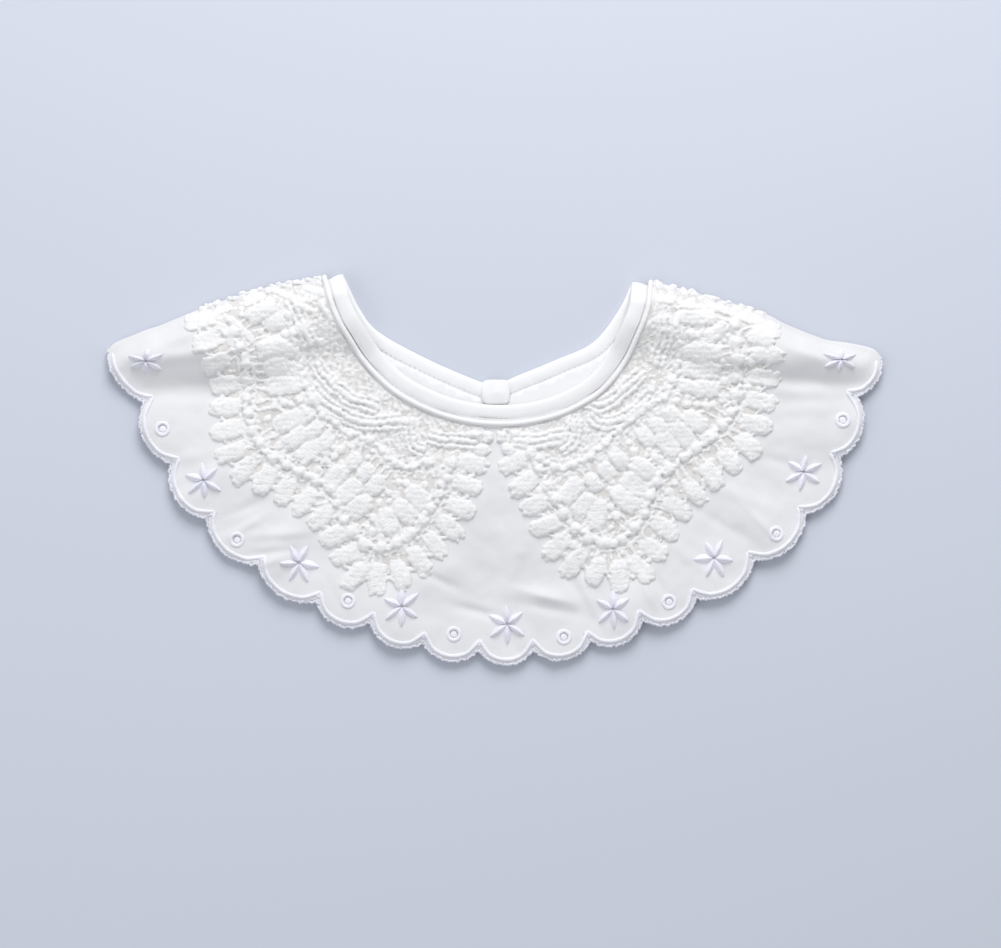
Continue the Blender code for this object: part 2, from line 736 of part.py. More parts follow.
def build_neck(drape, cotton, collection):
    """The neck band in three stretches, and the covered cord under its front stretch."""
    neck = neck_curve()
    sections = band_sections(neck, FRONT_BAND_RINGS, drape.underside, BAND_THICK)
    loft("neck_band_front", sections, cotton, collection)
    for side, name in ((-1, "neck_band_back_left"), (1, "neck_band_back_right")):
        curve = smooth_curve(BACK_NECK[side], 6)
        if side > 0:
            curve = curve[::-1]
        sections = band_sections(curve, BACK_BAND_RINGS, lambda x, y: 0.0, BACK_BAND_THICK)
        loft(name, sections, cotton, collection)

    route = offset_curve(neck, BAND_WIDTH + SEAM_GAP + CORD_RADIUS)
    places = [place for place, _ in walk(route, CORD_RINGS)][1:-1]
    line = bpy.data.curves.new("piping", "CURVE")
    line.dimensions = "3D"
    line.bevel_depth = CORD_RADIUS * MM
    line.bevel_resolution = 1
    line.use_fill_caps = True
    spline = line.splines.new("POLY")
    spline.points.add(len(places) - 1)
    for point, (x, y) in zip(spline.points, places):
        z = drape.top(x, y) + CORD_LIFT + CORD_RADIUS
        point.co = (x * MM, y * MM, z * MM, 1.0)
    line.materials.append(cotton)
    cord = bpy.data.objects.new("piping", line)
    collection.objects.link(cord)
    weld = cord.modifiers.new("weld", "WELD")
    weld.merge_threshold = WELD_DISTANCE


def build_back(cotton, collection):
    """The two back panels, flat on the surface under the front, with a slit between them."""
    notches = scallop_notches()
    before, after = len(notches) // 2 - 1, len(notches) // 2
    middle = (notches[before][0] + notches[after][0]) / 2
    hem = offset_curve(hem_curve(), -BACK_INSET)
    for side, name in ((-1, "back_panel_left"), (1, "back_panel_right")):
        fold = smooth_curve(FOLDS[side], 3)
        neck = smooth_curve(BACK_NECK[side], 6)
        seam = offset_curve(neck, (BAND_WIDTH + SEAM_GAP) * (-side))
        edge = [point for point in hem if (point[0] - middle) * side > BACK_SLIT]
        if side < 0:
            edge = edge[:-1] + [(middle - BACK_SLIT, edge[-1][1])]
        else:
            edge = [(middle + BACK_SLIT, edge[0][1])] + edge[1:]
        seam = [point for point in seam if point[0] * side > BACK_SLIT / 2]
        seam.append((side * BACK_SLIT, seam[-1][1] - BACK_SLIT))
        shoulder = [point for point in fold if abs(point[0]) > abs(seam[0][0]) + CORNER_CLEAR]
        if side < 0:
            outline = shoulder[:-1] + edge[1:] + seam[::-1]
        else:
            outline = edge[:-1] + shoulder[:-1][::-1] + seam
        plate = bpy.data.curves.new(name, "CURVE")
        plate.dimensions = "2D"
        plate.fill_mode = "BOTH"
        plate.extrude = BACK_COTTON / 2 * MM
        spline = plate.splines.new("POLY")
        spline.use_cyclic_u = True
        spline.points.add(len(outline) - 1)
        for point, (x, y) in zip(spline.points, outline):
            point.co = (x * MM, y * MM, 0.0, 1.0)
        plate.materials.append(cotton)
        item = bpy.data.objects.new(name, plate)
        item.location = (0.0, 0.0, BACK_COTTON / 2 * MM)
        collection.objects.link(item)
        weld = item.modifiers.new("weld", "WELD")
        weld.merge_threshold = WELD_DISTANCE


def build_tab(cotton, collection):
    """The small sewn tab that closes the ring over the two ends of the back band."""
    bpy.ops.mesh.primitive_cube_add(size=1.0)
    tab = bpy.context.active_object
    tab.name = "closure_tab"
    tab.data.transform(tab.matrix_world.Scale(TAB_WIDTH * MM, 4, (1, 0, 0)))
    tab.data.transform(tab.matrix_world.Scale(TAB_DEPTH * MM, 4, (0, 1, 0)))
    tab.data.transform(tab.matrix_world.Scale(TAB_THICK * MM, 4, (0, 0, 1)))
    z = BACK_BAND_THICK + SEAM_GAP + TAB_THICK / 2
    tab.location = (TAB_PLACE[0] * MM, TAB_PLACE[1] * MM, z * MM)
    bevel = tab.modifiers.new("rounded", "BEVEL")
    bevel.width = TAB_ROUND * MM
    bevel.segments = 2
    tab.data.materials.append(cotton)
    for owner in list(tab.users_collection):
        owner.objects.unlink(tab)
    collection.objects.link(tab)


def main():
    clear_scene()
    collection = bpy.data.collections.new("lace_collar")
    bpy.context.scene.collection.children.link(collection)
    cotton = make_material("white_cotton", (0.88, 0.89, 0.92), 0.85)
    band_cotton = make_material("band_cotton", (0.91, 0.91, 0.92), 0.8)
    lace = make_material("white_lace", (0.90, 0.89, 0.87), 0.9)
    drape = Drape()
    build_back(cotton, collection)
    build_front(drape, cotton, lace, collection)
    build_neck(drape, band_cotton, collection)
    build_tab(band_cotton, collection)
    for item in collection.objects:
        item.location.y += SHIFT_Y * MM


main()
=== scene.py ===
"""The looks of a child's white lace collar, laid flat and folded at the shoulders.

Every piece of cloth is a thin shell on its solid's form, with its creases, hem stitching, raised stars,
eyelets and thick lace. Sizes and places are in millimetres, and Pile.make turns them into metres.
"""

import json
import math

import bmesh
import bpy
import numpy as np
from mathutils import Vector
from mathutils.geometry import delaunay_2d_cdt
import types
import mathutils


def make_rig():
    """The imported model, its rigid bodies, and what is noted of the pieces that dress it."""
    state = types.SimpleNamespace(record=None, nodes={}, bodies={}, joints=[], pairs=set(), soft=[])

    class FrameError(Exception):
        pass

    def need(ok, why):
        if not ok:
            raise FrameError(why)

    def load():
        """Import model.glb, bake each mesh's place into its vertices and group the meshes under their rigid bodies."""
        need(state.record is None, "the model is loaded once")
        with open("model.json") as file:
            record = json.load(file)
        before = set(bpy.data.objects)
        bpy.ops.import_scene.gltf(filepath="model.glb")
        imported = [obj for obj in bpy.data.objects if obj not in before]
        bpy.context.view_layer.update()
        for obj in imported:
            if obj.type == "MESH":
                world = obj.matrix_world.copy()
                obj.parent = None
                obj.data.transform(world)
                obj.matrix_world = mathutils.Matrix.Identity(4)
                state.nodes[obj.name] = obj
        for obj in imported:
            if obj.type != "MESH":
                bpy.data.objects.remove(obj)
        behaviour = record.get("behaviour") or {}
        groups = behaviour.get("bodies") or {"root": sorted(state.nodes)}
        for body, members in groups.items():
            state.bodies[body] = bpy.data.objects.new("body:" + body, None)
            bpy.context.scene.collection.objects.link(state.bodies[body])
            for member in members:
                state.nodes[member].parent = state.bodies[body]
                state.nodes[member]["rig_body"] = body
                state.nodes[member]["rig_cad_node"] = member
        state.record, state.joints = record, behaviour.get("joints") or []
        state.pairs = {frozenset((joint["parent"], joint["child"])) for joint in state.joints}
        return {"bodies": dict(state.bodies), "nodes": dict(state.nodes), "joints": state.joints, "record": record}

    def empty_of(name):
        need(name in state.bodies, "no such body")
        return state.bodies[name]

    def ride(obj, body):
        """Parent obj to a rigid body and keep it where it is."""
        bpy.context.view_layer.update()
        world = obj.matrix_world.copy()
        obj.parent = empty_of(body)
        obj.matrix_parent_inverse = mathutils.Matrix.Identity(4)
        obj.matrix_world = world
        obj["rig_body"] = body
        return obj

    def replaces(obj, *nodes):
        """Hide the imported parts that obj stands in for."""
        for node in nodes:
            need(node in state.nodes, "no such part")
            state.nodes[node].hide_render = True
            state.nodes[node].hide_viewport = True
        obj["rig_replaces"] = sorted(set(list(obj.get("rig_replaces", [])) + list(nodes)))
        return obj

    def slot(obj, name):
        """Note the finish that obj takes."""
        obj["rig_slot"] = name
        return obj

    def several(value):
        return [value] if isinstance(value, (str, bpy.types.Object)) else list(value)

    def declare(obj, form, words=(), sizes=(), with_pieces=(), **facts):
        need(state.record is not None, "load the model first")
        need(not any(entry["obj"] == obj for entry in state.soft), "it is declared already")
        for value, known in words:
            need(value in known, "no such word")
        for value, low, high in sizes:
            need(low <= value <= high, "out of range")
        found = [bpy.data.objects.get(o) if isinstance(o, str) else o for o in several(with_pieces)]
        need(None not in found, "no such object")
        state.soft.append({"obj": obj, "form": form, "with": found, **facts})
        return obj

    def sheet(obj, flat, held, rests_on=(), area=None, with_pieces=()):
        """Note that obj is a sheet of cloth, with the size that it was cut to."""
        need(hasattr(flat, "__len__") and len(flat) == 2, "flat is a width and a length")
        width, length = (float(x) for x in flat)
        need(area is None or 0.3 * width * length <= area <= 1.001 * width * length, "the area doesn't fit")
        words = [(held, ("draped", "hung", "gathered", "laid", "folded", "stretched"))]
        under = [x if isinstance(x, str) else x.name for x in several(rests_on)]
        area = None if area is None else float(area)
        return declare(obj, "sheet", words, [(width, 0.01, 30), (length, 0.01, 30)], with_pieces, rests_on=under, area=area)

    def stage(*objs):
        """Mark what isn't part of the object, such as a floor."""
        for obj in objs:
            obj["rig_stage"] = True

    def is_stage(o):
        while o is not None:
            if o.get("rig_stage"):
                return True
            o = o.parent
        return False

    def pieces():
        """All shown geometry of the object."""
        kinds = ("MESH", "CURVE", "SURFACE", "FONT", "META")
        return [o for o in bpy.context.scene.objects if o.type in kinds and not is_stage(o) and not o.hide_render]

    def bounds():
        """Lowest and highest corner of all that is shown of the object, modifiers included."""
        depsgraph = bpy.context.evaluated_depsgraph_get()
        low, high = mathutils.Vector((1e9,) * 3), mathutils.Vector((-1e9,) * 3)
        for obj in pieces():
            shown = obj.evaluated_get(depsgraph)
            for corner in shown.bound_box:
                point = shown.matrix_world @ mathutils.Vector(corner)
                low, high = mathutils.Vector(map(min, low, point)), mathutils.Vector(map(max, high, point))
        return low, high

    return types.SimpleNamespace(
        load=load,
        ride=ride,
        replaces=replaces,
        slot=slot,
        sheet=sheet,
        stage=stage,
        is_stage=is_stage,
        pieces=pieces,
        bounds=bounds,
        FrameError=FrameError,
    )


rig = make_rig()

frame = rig.load()
CAD_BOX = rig.bounds()

MM = 0.001
SHIFT_Y = 0.8                   # brings the middle of the collar's box to the origin

# The collar's layout, as in its solids
COTTON = 1.0
SEAM_GAP = 0.3
BAND_WIDTH = 6.0
BAND_THICK = 2.6
BACK_BAND_THICK = 2.2
CORD_RADIUS = 1.0
HEM_LEAN = 4.6
NECK_LEAN = 2.3
LEAN_LEVEL = 46.0
HEM_LEAN_REACH = 60.0
NECK_LEAN_REACH = 27.0
HEM_TILT = 0.008
# Half widths and heights of the front's neck edge, and its corners on the shoulder folds
NECK_EDGE = [(0.0, 24.2), (11.0, 25.1), (23.0, 28.4), (35.4, 35.2), (44.1, 44.5), (49.3, 53.7), (53.5, 62.5)]
NECK_CORNERS = {-1: (-58.8, 74.6), 1: (53.4, 71.4)}
# Half widths and heights of the places where two scallops' satin lines meet
SCALLOP_MEETINGS = [(10.3, -66.9), (31.5, -63.8), (51.3, -55.8), (72.0, -47.8),
                    (93.8, -33.6), (113.4, -16.3), (126.4, 4.5), (134.8, 28.6)]
MEETING_OUT = 3.1               # from there out to the notch in the cut edge
SCALLOP_DEPTH = 6.2
TIP_DEPTH = 3.4
TIPS = {-1: (-150.0, 44.3), 1: (150.0, 41.6)}
# The shoulder folds, from the neck to the wing tips
FOLDS = {
    -1: [(-58.8, 74.6), (-66.0, 72.8), (-84.5, 70.0), (-107.0, 63.4), (-121.5, 58.0), (-131.0, 53.7),
         (-145.5, 47.8), (-150.0, 44.3)],
    1: [(53.4, 71.4), (68.0, 69.4), (87.0, 64.2), (105.0, 59.0), (113.0, 54.9), (128.5, 49.0),
        (145.5, 45.4), (150.0, 41.6)],
}
BACK_NECK = {
    -1: [(-58.8, 74.6), (-52.5, 61.5), (-45.0, 52.5), (-26.0, 42.0), (-8.0, 34.2), (-0.4, 31.6)],
    1: [(53.4, 71.4), (48.0, 60.5), (38.3, 48.5), (23.5, 41.6), (8.0, 35.2), (0.4, 31.6)],
}
TAB_PLACE = (0.5, 29.6)
# Rows of each lace half: a curve through these points, and how many motifs lie along it
LACE_ROWS = {
    -1: {
        "border": ([(-5.5, 0.5), (-12.5, -21.0), (-24.5, -36.0), (-37.5, -45.0), (-55.5, -45.0),
                    (-63.0, -30.5), (-73.5, -17.5), (-90.5, -8.0), (-103.0, -0.5), (-107.0, 14.5),
                    (-108.0, 32.0), (-113.0, 44.5), (-117.0, 56.0)], 23),
        "bobble": ([(-16.5, 2.0), (-22.0, -11.5), (-32.0, -25.5), (-45.5, -31.5), (-58.0, -22.5),
                    (-62.5, -9.5), (-75.5, -2.0), (-89.0, 6.5), (-96.0, 20.0), (-96.5, 39.5),
                    (-101.5, 52.0)], 25),
        "fan": ([(-30.0, -12.0), (-37.5, -19.5), (-47.5, -21.5), (-55.5, -11.5), (-65.0, -0.5),
                 (-76.5, 10.5), (-83.0, 24.0), (-84.0, 37.5), (-87.5, 52.5), (-90.5, 60.0)], 17),
        "net": ([(-25.5, 2.0), (-37.0, 0.5), (-47.5, 9.5), (-61.5, 16.5), (-70.5, 25.5),
                 (-75.5, 37.5), (-77.0, 47.5), (-80.0, 58.5)], 14),
    },
    1: {
        "border": ([(5.5, 0.5), (16.0, -19.5), (25.5, -36.0), (40.5, -43.5), (56.5, -43.0),
                    (68.0, -26.0), (75.5, -15.0), (91.0, -1.0), (101.5, 8.0), (105.5, 24.0),
                    (107.5, 39.5), (107.5, 53.0)], 21),
        "bobble": ([(14.0, 5.0), (20.5, -7.0), (30.5, -22.0), (45.5, -30.0), (57.5, -20.0),
                    (62.5, -6.0), (76.0, 5.5), (87.0, 13.5), (94.5, 27.0), (94.0, 45.5),
                    (93.0, 55.0)], 24),
        "fan": ([(30.0, -9.5), (38.0, -18.0), (46.5, -18.0), (54.5, -7.0), (61.5, 4.5), (72.0, 12.0),
                 (80.5, 21.5), (82.5, 32.0), (81.5, 47.5), (80.0, 58.0)], 17),
        "net": ([(17.5, 3.5), (26.5, -0.5), (37.0, 4.5), (46.5, 13.0), (56.5, 21.5), (67.5, 29.0),
                 (71.5, 41.0), (70.5, 55.0)], 13),
    },
}
# Cords of the motifs in the net, and the middles of the web's largest gaps
LACE_CORDS = {
    -1: [[(-71.0, 29.5), (-66.5, 25.5), (-58.0, 19.5), (-49.5, 17.0), (-37.0, 18.0)],
         [(-69.5, 39.5), (-63.0, 32.5), (-55.5, 26.5), (-46.0, 23.5)],
         [(-32.0, 18.0), (-31.5, 9.0), (-27.5, 6.5)],
         [(-25.5, 12.0), (-18.0, 10.5), (-8.0, 10.0)],
         [(-78.5, 65.0), (-74.5, 56.0), (-71.5, 47.5)]],
    1: [[(37.5, 21.0), (42.0, 17.5), (48.0, 18.0), (55.0, 22.0), (60.5, 27.0)],
        [(34.5, 26.0), (41.0, 24.5), (49.5, 29.5), (57.0, 36.5)],
        [(31.5, 18.0), (30.5, 11.0), (26.0, 7.0)],
        [(8.0, 11.0), (17.5, 10.0), (27.0, 12.5)],
        [(66.5, 58.0), (66.0, 49.0), (63.0, 40.5)]],
}
LACE_GAPS = {
    -1: [(-41.5, 12.0), (-67.0, 21.2), (-80.5, 4.6), (-53.0, 6.0)],
    1: [(40.0, 10.4), (52.2, 16.2), (62.6, 23.0), (60.0, -5.0), (68.0, 33.8)],
}
# Soft folds of the front: middle, direction in degrees, half length, half width, height
FRONT_FOLDS = [
    ((22.0, -50.5), -8.0, 17.0, 4.0, 1.0),
    ((-22.0, -42.0), 32.0, 16.0, 6.0, 0.9),
    ((100.0, -20.0), -48.0, 24.0, 8.0, 2.4),
    ((-112.0, -6.0), 40.0, 22.0, 9.0, 2.2),
    ((126.0, 14.0), 5.0, 22.0, 9.0, 1.8),
    ((-84.0, -34.0), 55.0, 20.0, 8.0, 2.0),
    ((-134.0, 14.0), -8.0, 20.0, 9.0, 1.6),
    ((52.0, -56.0), -65.0, 16.0, 9.0, 1.6),
    ((-40.0, -62.0), 70.0, 15.0, 9.0, 1.5),
    ((4.0, -20.0), 90.0, 22.0, 9.0, 0.8),
]
LAYER_HEIGHT = 1.4
NECK_LAYER = 1.5
SHOULDER_ROLL = 4.2
ROLL_RISE = 9.0
WING_ROLL = 2.2
HEM_LIFT = 1.2
HEM_LIFT_REACH = 26.0
CREST_LEVEL = 58.0
CREST_DROP = 13.0
CREST_WIDTH = 15.0
TIP_FLATTENING = 0.6
# Soft steps: where each starts, and over what length it runs, up the collar or out from its middle
NECK_LAYER_UP = (38.0, 12.0)
NECK_LAYER_OUT = (62.0, 14.0)
ROLL_OUT = (30.0, 20.0)
CREST_OUT = (60.0, 35.0)
WING_OUT = (100.0, 16.0)
TIP_OUT = (132.0, 18.0)

# What only the looks have

# Swells and creases of the front, in the columns of its soft folds
SWELLS = [
    ((2.0, -12.0), 0.0, 27.0, 30.0, 2.0),
    ((-60.0, -52.0), -10.0, 22.0, 9.0, 0.8),
    ((70.0, -50.0), 24.0, 24.0, 9.0, 0.8),
]
CREASES = [
    ((19.0, -50.0), -14.0, 9.0, 1.6, 0.85),
    ((21.5, -55.2), -12.0, 11.0, 2.2, -0.9),
    ((-6.5, -56.5), -14.0, 9.0, 1.8, -0.8),
    ((-23.0, -43.5), -24.0, 9.0, 1.8, -0.7),
    ((8.0, -36.0), 68.0, 14.0, 3.0, 0.35),
    ((-9.0, -30.0), 100.0, 15.0, 3.2, -0.3),
    ((-87.0, -33.5), 8.0, 9.0, 1.6, -0.9),
    ((-83.0, -26.0), 4.0, 11.0, 2.0, 0.8),
    ((-97.0, -16.0), 22.0, 8.0, 1.8, -0.4),
    ((-118.0, 4.0), 12.0, 10.0, 2.4, 0.4),
    ((-122.0, -8.0), 44.0, 9.0, 2.0, -0.35),
    ((-62.0, -50.0), -62.0, 7.0, 1.8, -0.4),
    ((64.0, -46.0), -50.0, 9.0, 1.8, -0.4),
    ((78.0, -37.0), -38.0, 12.0, 2.4, 0.45),
    ((88.0, -22.0), -30.0, 12.0, 2.2, -0.5),
    ((98.0, -12.0), -20.0, 12.0, 2.6, 0.4),
    ((112.0, 2.0), -12.0, 12.0, 2.2, -0.4),
    ((118.0, 22.0), 4.0, 13.0, 2.4, 0.35),
    ((-114.0, 30.0), 4.0, 26.0, 4.2, -1.4),
    ((-112.0, 44.5), 8.0, 26.0, 3.0, 1.0),
    ((100.0, 36.0), -6.0, 22.0, 3.0, -0.8),
    ((112.0, 30.0), -4.0, 20.0, 2.6, 0.6),
    ((-98.0, -24.0), 30.0, 9.0, 1.5, 0.55),
    ((-90.0, -38.0), 20.0, 7.0, 1.4, 0.5),
    ((104.0, -22.0), -46.0, 10.0, 1.6, 0.5),
    ((60.0, -50.0), -60.0, 8.0, 1.5, 0.5),
    ((30.0, -44.0), -62.0, 14.0, 2.2, -0.6),
    ((36.0, -50.0), -60.0, 12.0, 2.0, 0.5),
    ((128.0, 33.0), -4.0, 14.0, 2.2, -0.35),
    ((40.0, -57.0), 84.0, 6.0, 1.6, -0.3),
]

# Raised stars: middle, how far they are turned in degrees, and how tall they show for their width
STARS = [((-134.8, 41.0), -4.0, 0.62), ((-113.0, -5.1), 6.0, 0.9), ((-76.1, -37.3), 30.0, 1.0),
         ((-36.0, -54.1), 0.0, 1.0), ((4.9, -61.1), 2.0, 1.0), ((46.1, -55.2), 0.0, 1.0),
         ((85.4, -35.4), 30.0, 1.0), ((120.4, -1.9), -6.0, 0.9), ((134.4, 41.6), -3.0, 0.6)]
STAR_ARMS = [90.0, 33.0, -36.0, -90.0, 216.0, 152.0]
STAR_ARM = (7.6, 1.5, 2.0)      # length, half width, height
EYELETS = [(-129.0, 14.9), (-100.2, -28.2), (-57.0, -52.0), (-15.8, -65.0), (27.0, -66.1),
           (67.9, -52.4), (109.5, -25.9), (135.4, 18.3)]
EYELET_RING = (2.32, 0.76, 0.6)   # middle radius, half width, height
EYELET_HOLE = 1.6
EYELET_KNOB = 1.5
CREASE_SCALE = 1.3
FINE_WRINKLE_HEIGHT = 0.045
BROAD_WRINKLE_HEIGHT = 0.2
LOWEST_TOP = 1.2                # the deepest creases rest on the back cloth
REST_SHARPNESS = 3.0
HEM_STITCH = (1.3, 0.74, 0.75)    # distance from the edge, half width, height
HEM_EDGE = 0.6
EYELET_WALL = 1.2
NOTCH_THREADS = 11
SATIN_ON_TOP = 0.02             # stitches start this high over the cloth
ON_TOP = 0.03                   # and stars and eyelet rings this high
SEAM_TUCK = 0.6                 # how far a panel reaches under the neck band
CLOTH_SPACING = 1.0

PETAL_SIZE = (6.5, 3.75, 1.9)      # half length, half width, height
BORDER_INSET = {-1: 3.0, 1: 2.4}
FAN_SIZE = (6.4, 4.1, 2.2)
INNER_SIZE = (4.6, 3.3, 2.0)
BOBBLE_SIZE = (2.5, 3.0)
SMALL_BOBBLE_SIZE = (2.1, 2.6)
LACE_FROM_NECK = 8.9
LACE_MIDDLE = 0.2
LACE_APART = 0.5
GAP_RADIUS = 2.3
WEB_SPACING = 1.1
NET_ROWS = (10.0, 32.0, 2.1)    # distance from the neck of the first, of the end, and between two
TRIPLE_CORD = ((0.0, 1.25, 2.1), (2.4, 1.05, 1.8), (-2.3, 0.95, 1.6))    # shift, radius, height
# Knots that fill the open places: pitch, height below which a place is open, share, radius, height
FILLING_KNOTS = ((3.6, 0.3, 0.75, 1.8, 1.45), (2.4, 0.15, 0.75, 1.2, 0.95))
SIDE_NAMES = {-1: "left", 1: "right"}
# Pads near the shoulder folds and beside the front's middle: place, direction, half length, half width
SHOULDER_PADS = {
    -1: [((-2.6, 11.6), 90.0, 2.6, 2.2), ((-4.6, 6.6), 200.0, 3.6, 2.4), ((-8.0, 12.5), 175.0, 3.6, 1.7),
         ((-99.5, 54.5), -42.0, 9.0, 1.9), ((-103.5, 51.0), -42.0, 7.5, 1.6), ((-84.5, 56.0), 12.0, 6.0, 3.4),
         ((-87.0, 44.0), 4.0, 6.0, 3.0), ((-80.5, 66.5), -28.0, 7.0, 1.9), ((-74.5, 62.0), -30.0, 6.0, 1.8),
         ((-93.5, 65.5), 20.0, 5.0, 2.4), ((-69.5, 68.5), -20.0, 5.0, 1.7), ((-75.0, 54.0), 30.0, 4.0, 2.6),
         ((-106.0, 61.0), 24.0, 4.5, 2.2), ((-65.5, 60.5), -55.0, 5.0, 1.6)],
    1: [((3.0, 11.8), 90.0, 2.6, 2.2), ((5.4, 6.8), -20.0, 3.6, 2.4), ((8.6, 12.8), 8.0, 3.6, 1.7),
        ((98.0, 58.5), -22.0, 7.0, 2.8), ((86.0, 52.0), 35.0, 6.0, 3.2), ((76.5, 62.5), -10.0, 6.0, 2.0),
        ((71.0, 56.5), 60.0, 6.0, 1.8), ((87.5, 61.5), -18.0, 5.5, 2.0), ((66.0, 65.0), -8.0, 5.0, 1.8),
        ((81.0, 43.0), 10.0, 5.5, 3.2), ((103.0, 49.5), -12.0, 5.5, 3.4), ((94.5, 50.5), 80.0, 4.0, 2.2)],
}
# Cords along the rows: row, shift, radius, height, wave, its pitch, seed
ROW_CORDS = [
    ("bobble", 0.0, 1.35, 2.2, 0.6, 4.6, 401), ("bobble", 2.7, 0.8, 1.1, 0.45, 2.8, 402),
    ("bobble", -2.7, 0.8, 1.1, 0.5, 3.1, 403), ("net", 0.0, 1.3, 2.0, 0.5, 4.2, 404),
    ("net", 2.4, 0.8, 1.1, 0.5, 2.9, 405), ("net", -2.4, 0.8, 1.1, 0.4, 2.7, 406),
    ("fan", 0.0, 0.9, 1.4, 0.8, 4.0, 407), ("border", -2.2, 0.9, 1.3, 0.8, 4.4, 408),
]
# A further row of petals between the net and the fans
INNER_ROWS = {
    -1: ([(-46.0, -7.0), (-51.0, -1.5), (-57.5, 3.5), (-64.5, 9.0), (-71.5, 15.5), (-77.0, 25.0),
          (-79.0, 35.0), (-80.5, 45.0), (-84.5, 57.0)], 13),
    1: ([(38.5, -6.0), (43.5, -2.0), (50.5, 4.5), (59.0, 11.5), (67.5, 18.5), (74.5, 26.5),
         (76.5, 36.0), (75.5, 47.0), (74.0, 58.0)], 13),
}


def ease(value):
    value = np.clip(value, 0.0, 1.0)
    return value * value * (3.0 - 2.0 * value)


def ramp(value, start, length):
    """From 0 at the start to 1 a length further on, with soft ends."""
    return ease((value - start) / length)


def unit_rows(vectors):
    return vectors / np.linalg.norm(vectors, axis=1, keepdims=True)


def right_of(directions):
    """The right-hand side of each plan direction."""
    return np.stack([directions[:, 1], -directions[:, 0]], axis=1)


def circle(middle, radius, count):
    angle = np.linspace(0, 2 * math.pi, count, endpoint=False)
    return np.array(middle) + radius * np.stack([np.cos(angle), np.sin(angle)], axis=1)


def slow_noise(draw, count, every):
    """Random values for one point in so many, and even steps between them."""
    index = np.arange(count)
    return np.interp(index, index[::every], draw(len(index[::every])))


def smooth_curve(points, per_span=8):
    """A Catmull-Rom curve through the points, as an array."""
    points = [np.array(p, dtype=float) for p in points]
    padded = [2 * points[0] - points[1], *points, 2 * points[-1] - points[-2]]
    curve = []
    for index in range(1, len(padded) - 2):
        a, b, c, d = padded[index - 1:index + 3]
        for step in range(per_span):
            t = step / per_span
            curve.append(0.5 * (2 * b + (c - a) * t + (2 * a - 5 * b + 4 * c - d) * t ** 2
                                + (3 * b - a - 3 * c + d) * t ** 3))
    curve.append(points[-1])
    return np.array(curve)


def resample(curve, count=None, step=None):
    """Evenly spaced points along a curve, and the unit directions there."""
    lengths = np.hypot(*(curve[1:] - curve[:-1])[:, :2].T)
    reach = np.concatenate([[0.0], np.cumsum(lengths)])
    if count is None:
        count = max(3, int(round(reach[-1] / step)) + 1)
    at = np.linspace(0.0, reach[-1], count)
    points = np.stack([np.interp(at, reach, curve[:, axis]) for axis in range(curve.shape[1])], axis=1)
    return points, unit_rows(np.gradient(points, axis=0))


def offset_curve(curve, distance):
    """The curve moved to its right-hand side."""
    return curve + right_of(unit_rows(np.gradient(curve, axis=0))) * distance


def axis_at(y):
    """How far the collar's leaning middle line lies to the right."""
    hem = math.sin(math.pi / 2 * min(1.0, max(0.0, (LEAN_LEVEL - y) / HEM_LEAN_REACH)))
    neck = min(1.0, max(0.0, (y - LEAN_LEVEL) / NECK_LEAN_REACH))
    return HEM_LEAN * hem - NECK_LEAN * neck


def neck_curve(per_span=4):
    left = [(axis_at(y) - half, y) for half, y in reversed(NECK_EDGE[1:])]
    right = [(axis_at(y) + half, y) for half, y in NECK_EDGE]
    return smooth_curve([NECK_CORNERS[-1], *left, *right, NECK_CORNERS[1]], per_span)


def scallop_arc(start, end, depth, steps):
    """Points of a round scallop, both ends included."""
    chord = math.dist(start, end)
    radius = (chord * chord / 4 + depth * depth) / (2 * depth)
    half_angle = math.asin(min(1.0, chord / (2 * radius)))
    along = (np.array(end) - np.array(start)) / chord
    outward = np.array([along[1], -along[0]])
    angles = np.linspace(-half_angle, half_angle, steps + 1)
    forward = chord / 2 + radius * np.sin(angles)
    out = radius * np.cos(angles) - (radius - depth)
    return np.array(start) + forward[:, None] * along + out[:, None] * outward


def meeting_points():
    """The inner points between the scallops, with both wing tips."""
    meetings = []
    for side in (-1, 1):
        half = [(axis_at(y) + side * width, y + HEM_TILT * side * width) for width, y in SCALLOP_MEETINGS]
        meetings += reversed(half) if side < 0 else half
    return np.array([TIPS[-1], *meetings, TIPS[1]])


def scallop_arcs(steps=26):
    """The arcs of the hem from the left tip to the right tip."""
    notches = offset_corner(meeting_points(), MEETING_OUT)
    last = len(notches) - 2
    arcs = []
    for index in range(last + 1):
        depth = TIP_DEPTH if index in (0, last) else SCALLOP_DEPTH
        arcs.append(scallop_arc(notches[index], notches[index + 1], depth, steps))
    return arcs


def offset_corner(row, distance):
    """A row of corner points moved outwards, with both ends kept."""
    moved = row.copy()
    moved[1:-1] += right_of(unit_rows(row[2:] - row[:-2])) * distance
    return moved


def curve_distance(x, y, curve):
    """Distance from arrays of places to an open curve, signed: positive on its left-hand side."""
    best = np.full(np.shape(x), 1e9)
    sign = np.ones(np.shape(x))
    for (ax, ay), (bx, by) in zip(curve[:-1], curve[1:]):
        dx, dy = bx - ax, by - ay
        share = np.clip(((x - ax) * dx + (y - ay) * dy) / (dx * dx + dy * dy), 0.0, 1.0)
        away_x, away_y = x - ax - share * dx, y - ay - share * dy
        distance = np.hypot(away_x, away_y)
        nearer = distance < best - 1e-9
        best = np.where(nearer, distance, best)
        sign = np.where(nearer, np.sign(dx * away_y - dy * away_x + 1e-12), sign)
    return best, sign


